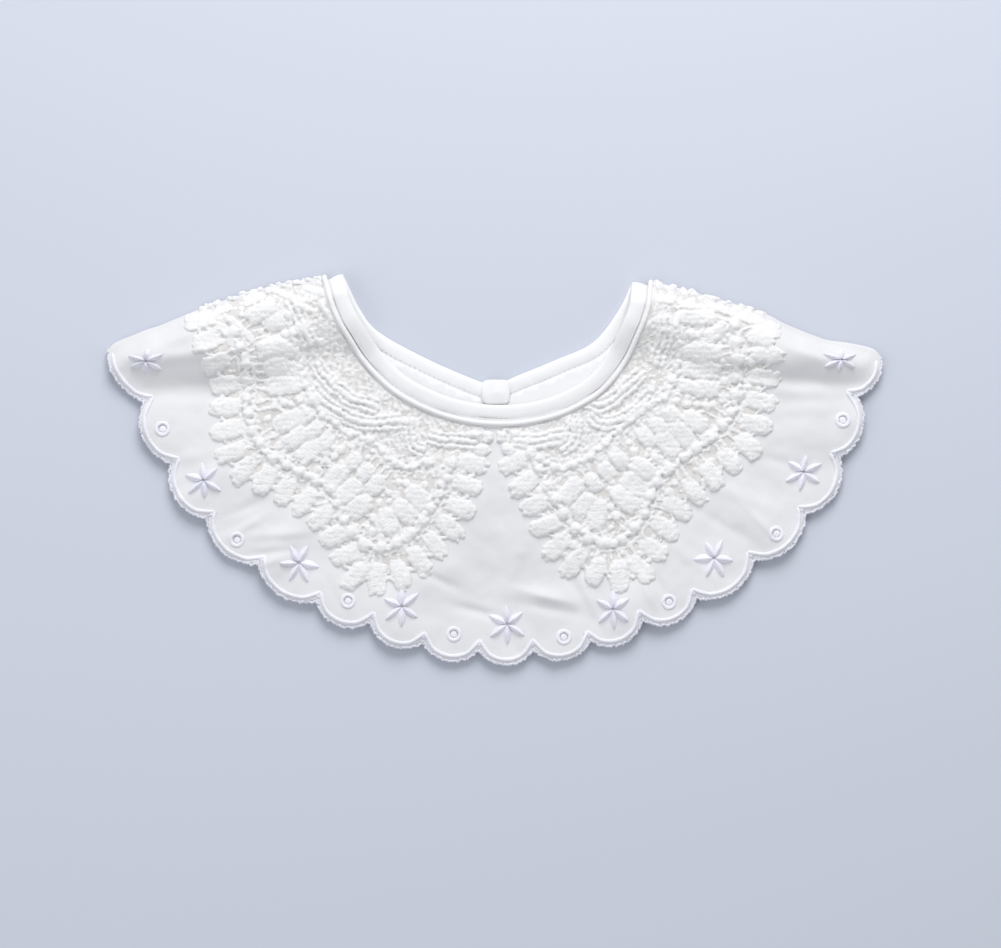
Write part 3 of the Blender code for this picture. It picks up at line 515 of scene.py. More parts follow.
def inside_loop(x, y, loop):
    """Whether places lie inside a closed outline."""
    hit = np.zeros(np.shape(x), dtype=bool)
    for (ax, ay), (bx, by) in zip(loop, np.roll(loop, -1, axis=0)):
        if ay != by:
            hit ^= ((ay > y) != (by > y)) & (x < ax + (bx - ax) * (y - ay) / (by - ay))
    return hit


def bumps(x, y, folds):
    """The added heights of a table of folds."""
    total = np.zeros(np.shape(x))
    for (middle_x, middle_y), degrees, half_length, half_width, height in folds:
        turn = math.radians(degrees)
        along = (x - middle_x) * math.cos(turn) + (y - middle_y) * math.sin(turn)
        across = -(x - middle_x) * math.sin(turn) + (y - middle_y) * math.cos(turn)
        total += height * np.exp(-(along / half_length) ** 2 - (across / half_width) ** 2)
    return total


class Field:
    """Values on an even grid, read between its points."""

    STEP = 0.5
    LOW = (-172.0, -100.0)
    SIZE = (689, 401)

    def __init__(self, values):
        self.values = values

    @classmethod
    def places(cls):
        xs = cls.LOW[0] + cls.STEP * np.arange(cls.SIZE[0])
        ys = cls.LOW[1] + cls.STEP * np.arange(cls.SIZE[1])
        return np.meshgrid(xs, ys, indexing="ij")

    def __call__(self, x, y):
        u = np.clip((np.asarray(x) - self.LOW[0]) / self.STEP, 0, self.SIZE[0] - 1.001)
        v = np.clip((np.asarray(y) - self.LOW[1]) / self.STEP, 0, self.SIZE[1] - 1.001)
        i, j = u.astype(int), v.astype(int)
        s, t = u - i, v - j
        f = self.values
        return ((1 - s) * (1 - t) * f[i, j] + s * (1 - t) * f[i + 1, j]
                + (1 - s) * t * f[i, j + 1] + s * t * f[i + 1, j + 1])

    def slopes(self):
        du, dv = np.gradient(self.values, self.STEP)
        return Field(du), Field(dv)


def lumps(seed, rounds):
    """Even small lumps, as of wound thread, mostly between -1 and 1; more rounds make them broader."""
    values = np.random.default_rng(seed).standard_normal(Field.SIZE)
    for _ in range(rounds):
        for axis in (0, 1):
            values = (values + np.roll(values, 1, axis) + np.roll(values, -1, axis)) / 3
    return Field(values / np.std(values))


THREAD_LUMPS = lumps(5, 1)
SOFT_LUMPS = lumps(6, 3)
FINE_WRINKLES = lumps(7, 8)
BROAD_WRINKLES = lumps(8, 60)
HEM_ARCS = scallop_arcs()
HEM = np.concatenate([arc[:-1] for arc in HEM_ARCS] + [HEM_ARCS[-1][-1:]])
NECK = neck_curve()
NECK_DISTANCE = Field(curve_distance(*Field.places(), NECK)[0])


def make_fields():
    """The front panel's underside and top, and how far each place is past the shoulder fold."""
    x, y = Field.places()
    out = np.abs(x)
    past = np.full(x.shape, -1e9)
    from_fold = np.full(x.shape, 1e9)
    for side in (-1, 1):
        distance, sign = curve_distance(x, y, smooth_curve(FOLDS[side], 3))
        here = (x < 0) if side < 0 else (x >= 0)
        past = np.where(here, distance * sign * side, past)
        from_fold = np.where(here, distance, from_fold)
    height = np.full(x.shape, LAYER_HEIGHT)
    height += NECK_LAYER * ramp(y, *NECK_LAYER_UP) * (1.0 - ramp(out, *NECK_LAYER_OUT))
    below_crest = CREST_LEVEL - CREST_DROP * ramp(out, *CREST_OUT) - y
    rise = ease((from_fold + 1.0) / ROLL_RISE) - ease(1.0 / ROLL_RISE)
    roll = SHOULDER_ROLL + WING_ROLL * ramp(out, *WING_OUT)
    tip = 1.0 - TIP_FLATTENING * ramp(out, *TIP_OUT)
    height += roll * tip * rise * (1.0 - ease(below_crest / CREST_WIDTH)) * ramp(out, *ROLL_OUT)
    from_hem, _ = curve_distance(x, y, HEM[::6])
    height += HEM_LIFT * (1.0 - ease(from_hem / HEM_LIFT_REACH))
    height += bumps(x, y, FRONT_FOLDS)
    underside = Field(height.copy())
    height += COTTON + bumps(x, y, SWELLS) + CREASE_SCALE * bumps(x, y, CREASES)
    height += FINE_WRINKLE_HEIGHT * FINE_WRINKLES.values + BROAD_WRINKLE_HEIGHT * BROAD_WRINKLES.values
    height = LOWEST_TOP + np.logaddexp(0.0, REST_SHARPNESS * (height - LOWEST_TOP)) / REST_SHARPNESS
    return underside, Field(height), Field(past)


UNDERSIDE, CLOTH_TOP, PAST_FOLD = make_fields()
PAST_X, PAST_Y = PAST_FOLD.slopes()
FOLD_BOTTOM = 0.25
FOLD_TURN = 1.9                 # how far things go round the fold, in radians


def lay(x, y, rise):
    """The place in space of points that stand a height above the front cloth.

    Past the shoulder fold they go round the fold, as the cloth does.
    """
    x, y, rise = np.broadcast_arrays(np.asarray(x, dtype=float), np.asarray(y, dtype=float),
                                     np.asarray(rise, dtype=float))
    past = PAST_FOLD(x, y)
    over = np.maximum(past, 0.0)
    nx, ny = PAST_X(x, y), PAST_Y(x, y)
    length = np.maximum(np.hypot(nx, ny), 1e-6)
    nx, ny = nx / length, ny / length
    foot_x, foot_y = x - nx * over, y - ny * over
    top = CLOTH_TOP(foot_x, foot_y)
    radius = (top - FOLD_BOTTOM) / 2
    angle = np.minimum(over / np.maximum(radius + rise / 2, 0.2), FOLD_TURN)
    reach = radius + rise
    wrapped_x = foot_x + nx * reach * np.sin(angle)
    wrapped_y = foot_y + ny * reach * np.sin(angle)
    wrapped_z = top - radius + reach * np.cos(angle)
    use = over > 0
    return np.stack([np.where(use, wrapped_x, x), np.where(use, wrapped_y, y),
                     np.where(use, wrapped_z, top + rise)], axis=-1)


class Pile:
    """Many small forms that become one mesh."""

    def __init__(self):
        self.points = []
        self.quads = []
        self.triangles = []
        self.count = 0

    def add(self, points, quads=None, triangles=None):
        points = np.asarray(points, dtype=float).reshape(-1, 3)
        if quads is not None and len(quads):
            self.quads.append(np.asarray(quads) + self.count)
        if triangles is not None and len(triangles):
            self.triangles.append(np.asarray(triangles) + self.count)
        self.points.append(points)
        self.count += len(points)

    def add_grid(self, grid, wrap=False):
        """A grid of points, rows by columns; wrap joins the last column to the first."""
        rows, columns = grid.shape[:2]
        index = np.arange(rows * columns).reshape(rows, columns)
        if wrap:
            index = np.concatenate([index, index[:, :1]], axis=1)
        quads = np.stack([index[:-1, :-1], index[:-1, 1:], index[1:, 1:], index[1:, :-1]], axis=-1)
        self.add(grid.reshape(-1, 3), quads.reshape(-1, 4))

    def make(self, name, material, slot, weld=False):
        points = np.concatenate(self.points)
        points = (points + np.array([0.0, SHIFT_Y, 0.0])) * MM
        faces = []
        for block in self.quads + self.triangles:
            faces += block.tolist()
        mesh = bpy.data.meshes.new(name)
        mesh.from_pydata(points.tolist(), [], faces)
        if weld:
            bm = bmesh.new()
            bm.from_mesh(mesh)
            bmesh.ops.remove_doubles(bm, verts=bm.verts, dist=0.000002)
            bmesh.ops.recalc_face_normals(bm, faces=bm.faces)
            bm.to_mesh(mesh)
            bm.free()
        mesh.materials.append(material)
        mesh.shade_smooth()
        mesh.update()
        item = bpy.data.objects.new(name, mesh)
        bpy.context.scene.collection.objects.link(item)
        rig.ride(item, "root")
        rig.slot(item, slot)
        return item


def on_cloth(points, rise=0.0):
    """Plan points as places in space, at a height above the front cloth."""
    return np.column_stack([points, CLOTH_TOP(points[:, 0], points[:, 1]) + rise])


def tube(pile, path, radius, sides=8, flat=1.0, ridge=0.0, pitch=1.0):
    """A round cord along points in space, its wrapped thread as a fine spiral relief."""
    path = np.asarray(path, dtype=float)
    along = unit_rows(np.gradient(path, axis=0))
    beside = np.stack([-along[:, 1], along[:, 0], np.zeros(len(path))], axis=1)
    beside /= np.maximum(np.linalg.norm(beside, axis=1, keepdims=True), 1e-6)
    up = np.cross(along, beside)
    up *= np.sign(up[:, 2:3] + 1e-9)
    reach = np.concatenate([[0.0], np.cumsum(np.linalg.norm(path[1:] - path[:-1], axis=1))])
    angle = np.linspace(0, 2 * math.pi, sides, endpoint=False)
    radius = np.broadcast_to(np.asarray(radius, dtype=float), (len(path),)).copy()
    # Both ends are round
    end = np.minimum(reach, reach[-1] - reach) / np.maximum(radius, 0.05)
    radius *= np.sqrt(np.clip(end * (2 - np.minimum(end, 1.0)), 0.02, 1.0))
    spiral = 1.0 + ridge * np.cos(2 * math.pi * reach[:, None] / pitch - angle[None, :])
    r = radius[:, None] * spiral
    pile.add_grid(path[:, None, :] + beside[:, None, :] * (r * np.cos(angle))[:, :, None]
                  + up[:, None, :] * (r * np.sin(angle) * flat)[:, :, None], wrap=True)


class Relief:
    """The raised thread of one lace half: heights over the cloth on a fine grid."""

    STEP = 0.36
    SUNK = -0.4                 # under the cloth's top, where nothing shows
    SCALE = 0.82
    GRAIN = 0.07
    TOP = 4.0
    ROUND_EDGE = 1.6
    # Small loops of thread that cover the padded forms
    KNOB = 0.5
    KNOB_PITCH = 1.9
    KNOB_RADII = (1.1, 1.55)
    KNOB_LEVEL = 0.6
    # Round the shoulder fold the lace thins out and ends
    FOLD_END = 4.6
    FOLD_TOP = 2.6
    FOLD_THINNING = 0.42

    def __init__(self, outline, margin, seed):
        self.low = outline.min(axis=0) - margin
        high = outline.max(axis=0) + margin
        xs = np.arange(self.low[0], high[0], self.STEP)
        ys = np.arange(self.low[1], high[1], self.STEP)
        self.x, self.y = np.meshgrid(xs, ys, indexing="ij")
        self.height = np.full(self.x.shape, self.SUNK)
        self.sway = 0.16 * THREAD_LUMPS(self.x, self.y) + 0.14 * SOFT_LUMPS(self.x, self.y)
        self.knobs = np.zeros(self.x.shape)
        local = np.random.default_rng(seed)
        for x in np.arange(self.low[0], high[0], self.KNOB_PITCH):
            for y in np.arange(self.low[1], high[1], self.KNOB_PITCH):
                place = np.array([x, y]) + local.uniform(-0.5, 0.5, 2)
                where = self.near(place, self.KNOB_RADII[1] + 0.05)
                away = self.distance(where, place) / local.uniform(*self.KNOB_RADII)
                self.knobs[where] = np.maximum(self.knobs[where], np.sqrt(np.clip(1 - away ** 2, 0, 1)))
        self.knobs -= self.KNOB_LEVEL

    def distance(self, where, place):
        return np.hypot(self.x[where] - place[0], self.y[where] - place[1])

    def near(self, place, reach):
        """The part of the grid round a place."""
        size = self.height.shape
        first = np.clip(np.floor((np.asarray(place) - reach - self.low) / self.STEP).astype(int), 0, size)
        last = np.clip(np.ceil((np.asarray(place) + reach - self.low) / self.STEP).astype(int) + 1, 0, size)
        return slice(first[0], last[0]), slice(first[1], last[1])

    def raise_pad(self, where, depth, edge, height, lines=0.0):
        """Raise a padded form; depth is how far inside it a place is, edge how wide its sides are."""
        depth = depth + self.sway[where]
        side = 1 - np.clip(depth / edge, 0, 1)
        inside = np.clip(depth / 0.8, 0, 1)
        rise = height * np.sqrt(1 - side ** 2) + inside * (lines + self.KNOB * self.knobs[where])
        rise = np.where(depth > 0, rise, np.maximum(1.5 * depth, self.SUNK))
        self.height[where] = np.maximum(self.height[where], rise)

    def petal(self, place, direction, size, seed, boxy=3.0, edge=2.2, pitch=1.2, ridge=0.1):
        """A padded petal with a scalloped outline and fine ridges of thread across it."""
        half_length, half_width, height = size
        phase = np.random.default_rng(seed).uniform(0, 2 * math.pi)
        where = self.near(place, half_length + half_width)
        dx, dy = self.x[where] - place[0], self.y[where] - place[1]
        u = dx * direction[0] + dy * direction[1]
        v = dy * direction[0] - dx * direction[1]
        share = (np.abs(u / half_length) ** boxy + np.abs(v / half_width) ** boxy) ** (1 / boxy)
        around = np.arctan2(v / half_width, u / half_length)
        share = share * (1.04 - 0.075 * np.abs(np.cos(4.5 * around + phase)))    # nine shallow lobes
        lines = ridge * np.cos(2 * math.pi * (u + 0.25 * v) / pitch + phase)
        swell = 1 + 0.08 * np.sin(u / half_length * 2.5 + phase)
        self.raise_pad(where, (1 - share) * half_width, edge, height * swell, lines)

    def knot(self, place, radius, height):
        where = self.near(place, radius + 0.8)
        self.raise_pad(where, radius - self.distance(where, place), radius, height)

    def cord(self, curve, radius, height, seed, wave=0.0, wave_pitch=3.0, bead=2.2, beading=0.14):
        """A cord along a plan curve, waving from side to side and beaded."""
        local = np.random.default_rng(seed)
        points, directions = resample(np.asarray(curve), step=0.5)
        reach = 0.5 * np.arange(len(points))
        sway = wave * np.sin(2 * math.pi * reach / wave_pitch + local.uniform(0, 6.28))
        sway += 0.3 * slow_noise(local.standard_normal, len(points), 7)
        beads = 1 + beading * np.cos(2 * math.pi * reach / bead + local.uniform(0, 6.28))
        beads += 0.1 * slow_noise(local.standard_normal, len(points), 5)
        for place, size in zip(points - right_of(directions) * sway[:, None], beads):
            self.knot(place, radius * size, height * (0.6 + 0.4 * size))

    def make(self, name, side):
        """The mesh, kept clear of the neck cord, of the other half and of the far side of the fold."""
        past = PAST_FOLD(self.x, self.y)
        clear = np.minimum(NECK_DISTANCE(self.x, self.y) - LACE_FROM_NECK,
                           (self.x - LACE_MIDDLE) * side - LACE_APART)
        clear = np.minimum(clear, self.FOLD_END - past)
        cap = self.TOP * np.sqrt(np.clip(clear / self.ROUND_EDGE, 0, 1))
        cap += np.where(clear < 0, self.SUNK, 0.0)
        cap = np.where(past > 0, np.minimum(cap, self.FOLD_TOP - self.FOLD_THINNING * past), cap)
        grain = self.GRAIN * np.random.default_rng(side + 5).standard_normal(self.x.shape)
        height = np.where(self.height > 0, self.SCALE * self.height + grain, self.height)
        height = np.minimum(height, np.maximum(cap, self.SUNK))
        shown = height > self.SUNK + 0.02
        cells = shown[:-1, :-1] | shown[1:, :-1] | shown[1:, 1:] | shown[:-1, 1:]
        index = np.arange(height.size).reshape(height.shape)
        quads = np.stack([index[:-1, :-1][cells], index[1:, :-1][cells], index[1:, 1:][cells],
                          index[:-1, 1:][cells]], axis=-1)
        used, quads = np.unique(quads, return_inverse=True)
        pile = Pile()
        pile.add(lay(self.x.ravel()[used], self.y.ravel()[used], height.ravel()[used]), quads.reshape(-1, 4))
        return pile.make(name, LACE_THREAD, "white_lace")


def runs(points, keep, shortest):
    """The stretches of a row of points that pass a test."""
    found, run = [], []
    for point, good in zip(points, keep):
        if good:
            run.append(point)
        elif run:
            found.append(np.array(run))
            run = []
    if run:
        found.append(np.array(run))
    return [run for run in found if len(run) >= shortest]


def turned_left(loop):
    """An outline that runs counter-clockwise, as the triangulation needs it."""
    area = np.sum(loop[:, 0] * np.roll(loop[:, 1], -1) - loop[:, 1] * np.roll(loop[:, 0], -1))
    return loop if area > 0 else loop[::-1]


def plan_sheet(outline, holes, spacing):
    """Triangles of a flat piece with holes, evenly filled."""
    outline = turned_left(np.asarray(outline))
    rise = spacing * math.sqrt(3) / 2
    low, high = outline.min(axis=0), outline.max(axis=0)
    rows = np.arange(low[1], high[1], rise)
    columns = np.arange(low[0], high[0], spacing)
    x = columns[None, :] + 0.5 * spacing * (np.arange(len(rows))[:, None] % 2)
    y = np.broadcast_to(rows[:, None], x.shape)
    x, y = x.ravel(), y.ravel()
    good = inside_loop(x, y, outline)
    x, y = x[good], y[good]
    near, _ = curve_distance(x, y, np.concatenate([outline, outline[:1]]))
    good = near > spacing * 0.45    # clear of the outline, so that no triangle is too thin
    for hole in holes:
        middle = hole.mean(axis=0)
        reach = np.hypot(*(hole - middle).T).max()
        good &= np.hypot(x - middle[0], y - middle[1]) > reach + spacing * 0.4
    plan = [outline]
    loops = [list(range(len(outline)))]
    start = len(outline)
    for hole in holes:
        plan.append(turned_left(hole))
        loops.append(list(range(start, start + len(hole))))
        start += len(hole)
    plan.append(np.stack([x[good], y[good]], axis=1))
    plan = [Vector(point) for point in np.concatenate(plan)]
    points, _, faces, _, _, found = delaunay_2d_cdt(plan, [], loops, 0, 1e-5)
    kept = [face for face, inside in zip(faces, found) if list(inside) == [0]]
    return np.array([tuple(point) for point in points]), np.array(kept)


# The materials
WAVE_TURN = 6.2832              # brings a cloth's thread count to the scale of the wave texture


def shader_of(name):
    material = bpy.data.materials.new(name)
    material.use_nodes = True
    tree = material.node_tree
    return material, tree, tree.nodes["Principled BSDF"]


def textured(tree, kind, source, **values):
    """A texture node that reads a socket, with its other inputs set by name."""
    node = tree.nodes.new(kind)
    for name, value in values.items():
        node.inputs[name.replace("_", " ").title()].default_value = value
    tree.links.new(source, node.inputs["Vector"])
    return node


def bumped(tree, height, strength, distance, below=None):
    """A bump of a height in millimetres, over another bump where there is one."""
    node = tree.nodes.new("ShaderNodeBump")
    node.inputs["Strength"].default_value = strength
    node.inputs["Distance"].default_value = distance * MM
    tree.links.new(height, node.inputs["Height"])
    if below:
        tree.links.new(below, node.inputs["Normal"])
    return node.outputs["Normal"]


def cloth_material(name, colour, shade, roughness, sheen, weave=3300.0, weave_height=0.03,
                   fluff=1500.0, fluff_height=0.04, mottling=60.0, softness=0.0):
    """Woven or stitched white cloth: two crossed sets of threads, fluff and a faint mottling."""
    material, tree, shader = shader_of(name)
    shader.inputs["Roughness"].default_value = roughness
    shader.inputs["Sheen Weight"].default_value = sheen
    shader.inputs["Sheen Roughness"].default_value = 0.5
    shader.inputs["Specular IOR Level"].default_value = 0.25
    if softness:
        shader.inputs["Subsurface Weight"].default_value = softness
        shader.inputs["Subsurface Radius"].default_value = (0.0012, 0.0012, 0.0012)
        shader.inputs["Subsurface Scale"].default_value = 1.0
    where = tree.nodes.new("ShaderNodeTexCoord").outputs["Object"]
    tone = textured(tree, "ShaderNodeTexNoise", where, scale=mottling, detail=4.0)
    tints = tree.nodes.new("ShaderNodeValToRGB")
    for element, position, tint in zip(tints.color_ramp.elements, (0.32, 0.68), (shade, colour)):
        element.position = position
        element.color = (*tint, 1.0)
    tree.links.new(tone.outputs["Fac"], tints.inputs["Fac"])
    tree.links.new(tints.outputs["Color"], shader.inputs["Base Color"])
    cross = tree.nodes.new("ShaderNodeMath")
    cross.operation = "MAXIMUM"
    for index, axis in enumerate("XY"):
        wave = textured(tree, "ShaderNodeTexWave", where, scale=weave / WAVE_TURN, distortion=0.6,
                        detail=1.0, detail_scale=2.0)
        wave.wave_type = "BANDS"
        wave.bands_direction = axis
        tree.links.new(wave.outputs["Fac"], cross.inputs[index])
    threads = bumped(tree, cross.outputs[0], 0.5, weave_height)
    fluffy = textured(tree, "ShaderNodeTexNoise", where, scale=fluff, detail=3.0)
    tree.links.new(bumped(tree, fluffy.outputs["Fac"], 0.6, fluff_height, threads), shader.inputs["Normal"])
    return material


# Each cloth: colour, its shade, roughness and sheen; then how fine its threads, fluff and mottling are,
# where more is finer, and how high they stand in millimetres
SATIN = {"weave": 9000.0, "weave_height": 0.05, "fluff": 4000.0, "fluff_height": 0.05, "mottling": 200.0}
COTTON_CLOTH = cloth_material("cotton_cloth", (0.755, 0.755, 0.77), (0.725, 0.725, 0.74), 0.85, 0.15)
# The back panels' cotton is lighter than the front's same cotton: painted light that lifts the shade they lie in,
# under the front
BACK_CLOTH_PAINTED_LIGHT = cloth_material("back_cloth", (0.84, 0.84, 0.85), (0.81, 0.81, 0.825), 0.85, 0.15)
BAND_CLOTH = cloth_material("band_cloth", (0.85, 0.845, 0.85), (0.82, 0.815, 0.825), 0.8, 0.2)
# The back bands and the tab are lighter than the front band's same cotton: painted light that lifts the shade in the
# neck opening
BACK_BAND_PAINTED_LIGHT = cloth_material("back_band_cloth", (0.91, 0.91, 0.92), (0.88, 0.88, 0.895), 0.8, 0.2)
LACE_THREAD = cloth_material("lace_thread", (0.87, 0.865, 0.865), (0.83, 0.825, 0.825), 0.95, 0.3,
                             weave=7000.0, weave_height=0.08, fluff=2100.0, fluff_height=0.32,
                             mottling=250.0, softness=0.4)
# The web's darker, warmer colour is painted shade: it stands for the shade that falls between the raised motifs
LACE_GROUND_PAINTED_SHADE = cloth_material("lace_ground", (0.79, 0.775, 0.755), (0.72, 0.70, 0.675), 0.85, 0.2,
                             weave=5200.0, weave_height=0.2, fluff=1800.0, fluff_height=0.3, mottling=380.0)
STITCH_THREAD = cloth_material("stitch_thread", (0.88, 0.88, 0.935), (0.84, 0.84, 0.90), 0.5, 0.35, **SATIN)
# The fuzzy cut edge is real, but its thread is coloured darker than the stitching: painted shade for the thin shadow
# line along the hem
EDGE_THREAD_PAINTED_SHADE = cloth_material("edge_thread", (0.80, 0.80, 0.88), (0.72, 0.72, 0.81), 0.8, 0.35,
                             weave=9000.0, weave_height=0.05, fluff=2600.0, fluff_height=0.2, mottling=300.0)
STAR_THREAD = cloth_material("star_thread", (0.87, 0.865, 0.935), (0.81, 0.805, 0.895), 0.45, 0.35, **SATIN)


def build_front_cloth():
    """The front's top, its hem edge, the rolls at the shoulder folds and the eyelets' walls."""
    seam = offset_curve(NECK, BAND_WIDTH - SEAM_TUCK)
    left = smooth_curve(FOLDS[-1], 6)
    right = smooth_curve(FOLDS[1], 6)
    left = left[left[:, 0] < seam[0, 0] - SEAM_TUCK]
    right = right[right[:, 0] > seam[-1, 0] + SEAM_TUCK]
    outline = np.concatenate([left, HEM[1:-1], right[::-1], seam[::-1][::2]])
    holes = [circle(middle, EYELET_HOLE, 22) for middle in EYELETS]
    points, faces = plan_sheet(outline, holes, CLOTH_SPACING)
    pile = Pile()
    pile.add(on_cloth(points), triangles=faces)
    edge = on_cloth(np.concatenate([left[-1:], HEM[1:-1], right[-1:]]))
    out = np.column_stack([offset_curve(edge[:, :2], 0.25), edge[:, 2] - 0.25])
    pile.add_grid(np.stack([edge, out, edge - (0.0, 0.0, HEM_EDGE)]))
    for fold in (left, right):
        top = CLOTH_TOP(fold[:, 0], fold[:, 1])
        normal = np.stack([PAST_X(fold[:, 0], fold[:, 1]), PAST_Y(fold[:, 0], fold[:, 1])], axis=1)
        normal /= np.maximum(np.linalg.norm(normal, axis=1, keepdims=True), 1e-6)
        radius = (top - FOLD_BOTTOM) / 2
        rings = []
        for angle in np.linspace(0, math.pi, 9):
            place = fold + normal * (radius * math.sin(angle))[:, None]
            rings.append(np.column_stack([place, top - radius + radius * math.cos(angle)]))
        pile.add_grid(np.stack(rings))
    for hole in holes:
        ring = on_cloth(hole)
        middle = hole.mean(axis=0)
        low = np.column_stack([middle + (hole - middle) * 0.94, ring[:, 2] - EYELET_WALL])
        pile.add_grid(np.stack([ring, low]), wrap=True)
    item = pile.make("front_cloth", COTTON_CLOTH, "white_cotton", weld=True)
    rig.replaces(item, "front_panel")
    return item


def add_satin_line(pile, knots, local):
    """One scallop's raised line of satin stitches, thin at both ends."""
    _, half_width, height = HEM_STITCH
    path, directions = resample(smooth_curve(knots, 6), step=0.24)
    count = len(path)
    reach = np.arange(count)
    taper = np.sqrt(np.clip(np.minimum(reach, reach[::-1]) / 6.0, 0.08, 1.0))
    width = half_width * taper * (1 + 0.05 * slow_noise(local.standard_normal, count, 7))
    lines = 1 + 0.09 * np.cos(math.pi * reach) + 0.05 * local.standard_normal(count)
    angle = np.linspace(-0.15, math.pi + 0.15, 9)
    across = np.cos(angle)[None, :] * width[:, None]
    rise = np.maximum(np.sin(angle), -0.1)[None, :] * (height * taper * lines)[:, None]
    beside = right_of(directions)
    x = path[:, 0:1] + beside[:, 0:1] * across
    y = path[:, 1:2] + beside[:, 1:2] * across
    pile.add_grid(np.stack([x, y, CLOTH_TOP(x, y) + rise + SATIN_ON_TOP], axis=-1))


def add_cut_edge(pile, arc, local):
    """The fuzzy cut edge outside a scallop's satin line, in a darker thread that paints the shadow line along the hem.
    """
    edge, directions = resample(offset_curve(arc, 0.55), step=0.5)
    count = len(edge)
    places = edge + right_of(directions) * (0.24 * local.standard_normal(count))[:, None]
    path = on_cloth(places, -0.55 + 0.15 * local.standard_normal(count))
    tube(pile, path, 0.52 + 0.2 * local.random(count), sides=6, ridge=0.1, pitch=0.8)


def add_notch_threads(pile, middle, local):
    """Loose crossing threads that fill the notch between two scallops, in the cut edge's darker, painted-shade thread.
    """
    for _ in range(NOTCH_THREADS):
        turn = local.uniform(0, math.pi)
        half = local.uniform(0.6, 1.3)
        start = middle + local.normal(0, 0.35, 2)
        line = start + half * np.outer((-1.0, -0.3, 0.4, 1.0), (math.cos(turn), math.sin(turn)))
        tube(pile, on_cloth(line, 0.15 + 0.1 * local.random(4)), 0.26, sides=5)


def build_hem_stitching():
    """The satin line along each scallop, and the fuzzy cut edge outside it, whose darker thread is painted shade."""
    row = meeting_points()
    satin = Pile()
    fuzz = Pile()
    last = len(HEM_ARCS) - 1
    for index, arc in enumerate(HEM_ARCS):
        inner = offset_curve(arc, -HEM_STITCH[0])
        # The line runs into its neighbours' where they meet, and ends free at the wing tips
        start = [inner[0]] if index == 0 else [row[index], inner[3] * 0.55 + row[index] * 0.45]
        finish = [inner[-1]] if index == last else [inner[-4] * 0.55 + row[index + 1] * 0.45, row[index + 1]]
        local = np.random.default_rng(100 + index)
        add_satin_line(satin, [*start, *inner[5:-5:4], *finish], local)
        add_cut_edge(fuzz, arc, local)
        if index < last:
            add_notch_threads(fuzz, row[index + 1] * 0.45 + arc[-1] * 0.55, local)
    return [satin.make("hem_stitching", STITCH_THREAD, "white_cotton"),
            fuzz.make("hem_cut_edge", EDGE_THREAD_PAINTED_SHADE, "white_cotton")]


def build_stars():
    """Nine raised stars: six padded satin arms each, pointed at both ends."""
    stars = Pile()
    length, half_width, height = STAR_ARM
    u = np.linspace(0.02, 0.995, 22)[:, None]
    v = np.sin(np.linspace(-1, 1, 9) * math.pi / 2)[None, :]
    for number, (middle, turned, tall) in enumerate(STARS):
        for arm, angle in enumerate(STAR_ARMS):
            local = np.random.default_rng(500 + number * 10 + arm)
            turn = math.radians(angle + turned + local.uniform(-4, 4))
            reach = length * local.uniform(0.92, 1.04)
            width = half_width * local.uniform(0.8, 1.12) * np.sin(math.pi * u ** 0.95) ** 0.75 + 0.06
            across = v * width + local.uniform(-0.5, 0.5) * u ** 2
            ridge = 1 + 0.1 * np.cos(2 * math.pi * u * reach / 0.62)
            rise = height * (1 - np.abs(v) ** 1.15) * np.sin(math.pi * u ** 0.8) ** 0.5 * ridge
            along = 0.35 + u * reach
            x = middle[0] + math.cos(turn) * along - math.sin(turn) * across
            y = middle[1] + (math.sin(turn) * along + math.cos(turn) * across) * tall
            stars.add_grid(lay(x, y, rise + ON_TOP))
    return stars.make("star_embroidery", STAR_THREAD, "white_cotton")


def build_eyelets():
    """An overcast ring round each eyelet, and the low knob of padding inside it."""
    rings = Pile()
    middle_radius, half_width, height = EYELET_RING
    turn = np.linspace(0, 2 * math.pi, 84, endpoint=False)[:, None]
    angle = np.linspace(0, math.pi, 8)[None, :]
    knob_turn = np.linspace(0, 2 * math.pi, 16, endpoint=False)[None, :]
    share = np.array([1.0, 0.9, 0.7, 0.4, 0.05])[:, None]
    for number, middle in enumerate(EYELETS):
        local = np.random.default_rng(700 + number)
        width = half_width * (1 + 0.08 * np.cos(5 * turn + local.uniform(0, 6)))
        r = middle_radius + np.cos(angle) * width
        rise = np.sin(angle) * height * (1 + 0.1 * np.cos(42 * turn))
        x = middle[0] + r * np.cos(turn)
        y = middle[1] + r * np.sin(turn)
        grid = np.stack([x, y, CLOTH_TOP(x, y) + rise + ON_TOP], axis=-1)
        rings.add_grid(np.concatenate([grid, grid[:1]], axis=0))
        x = middle[0] + EYELET_KNOB * share * np.cos(knob_turn)
        y = middle[1] + EYELET_KNOB * share * np.sin(knob_turn)
        z = CLOTH_TOP(*middle) - 0.5 + 0.5 * np.sqrt(1 - 0.99 * share ** 2) + 0 * x
        rings.add_grid(np.stack([x, y, z], axis=-1), wrap=True)
    return rings.make("eyelet_rings", STITCH_THREAD, "white_cotton")


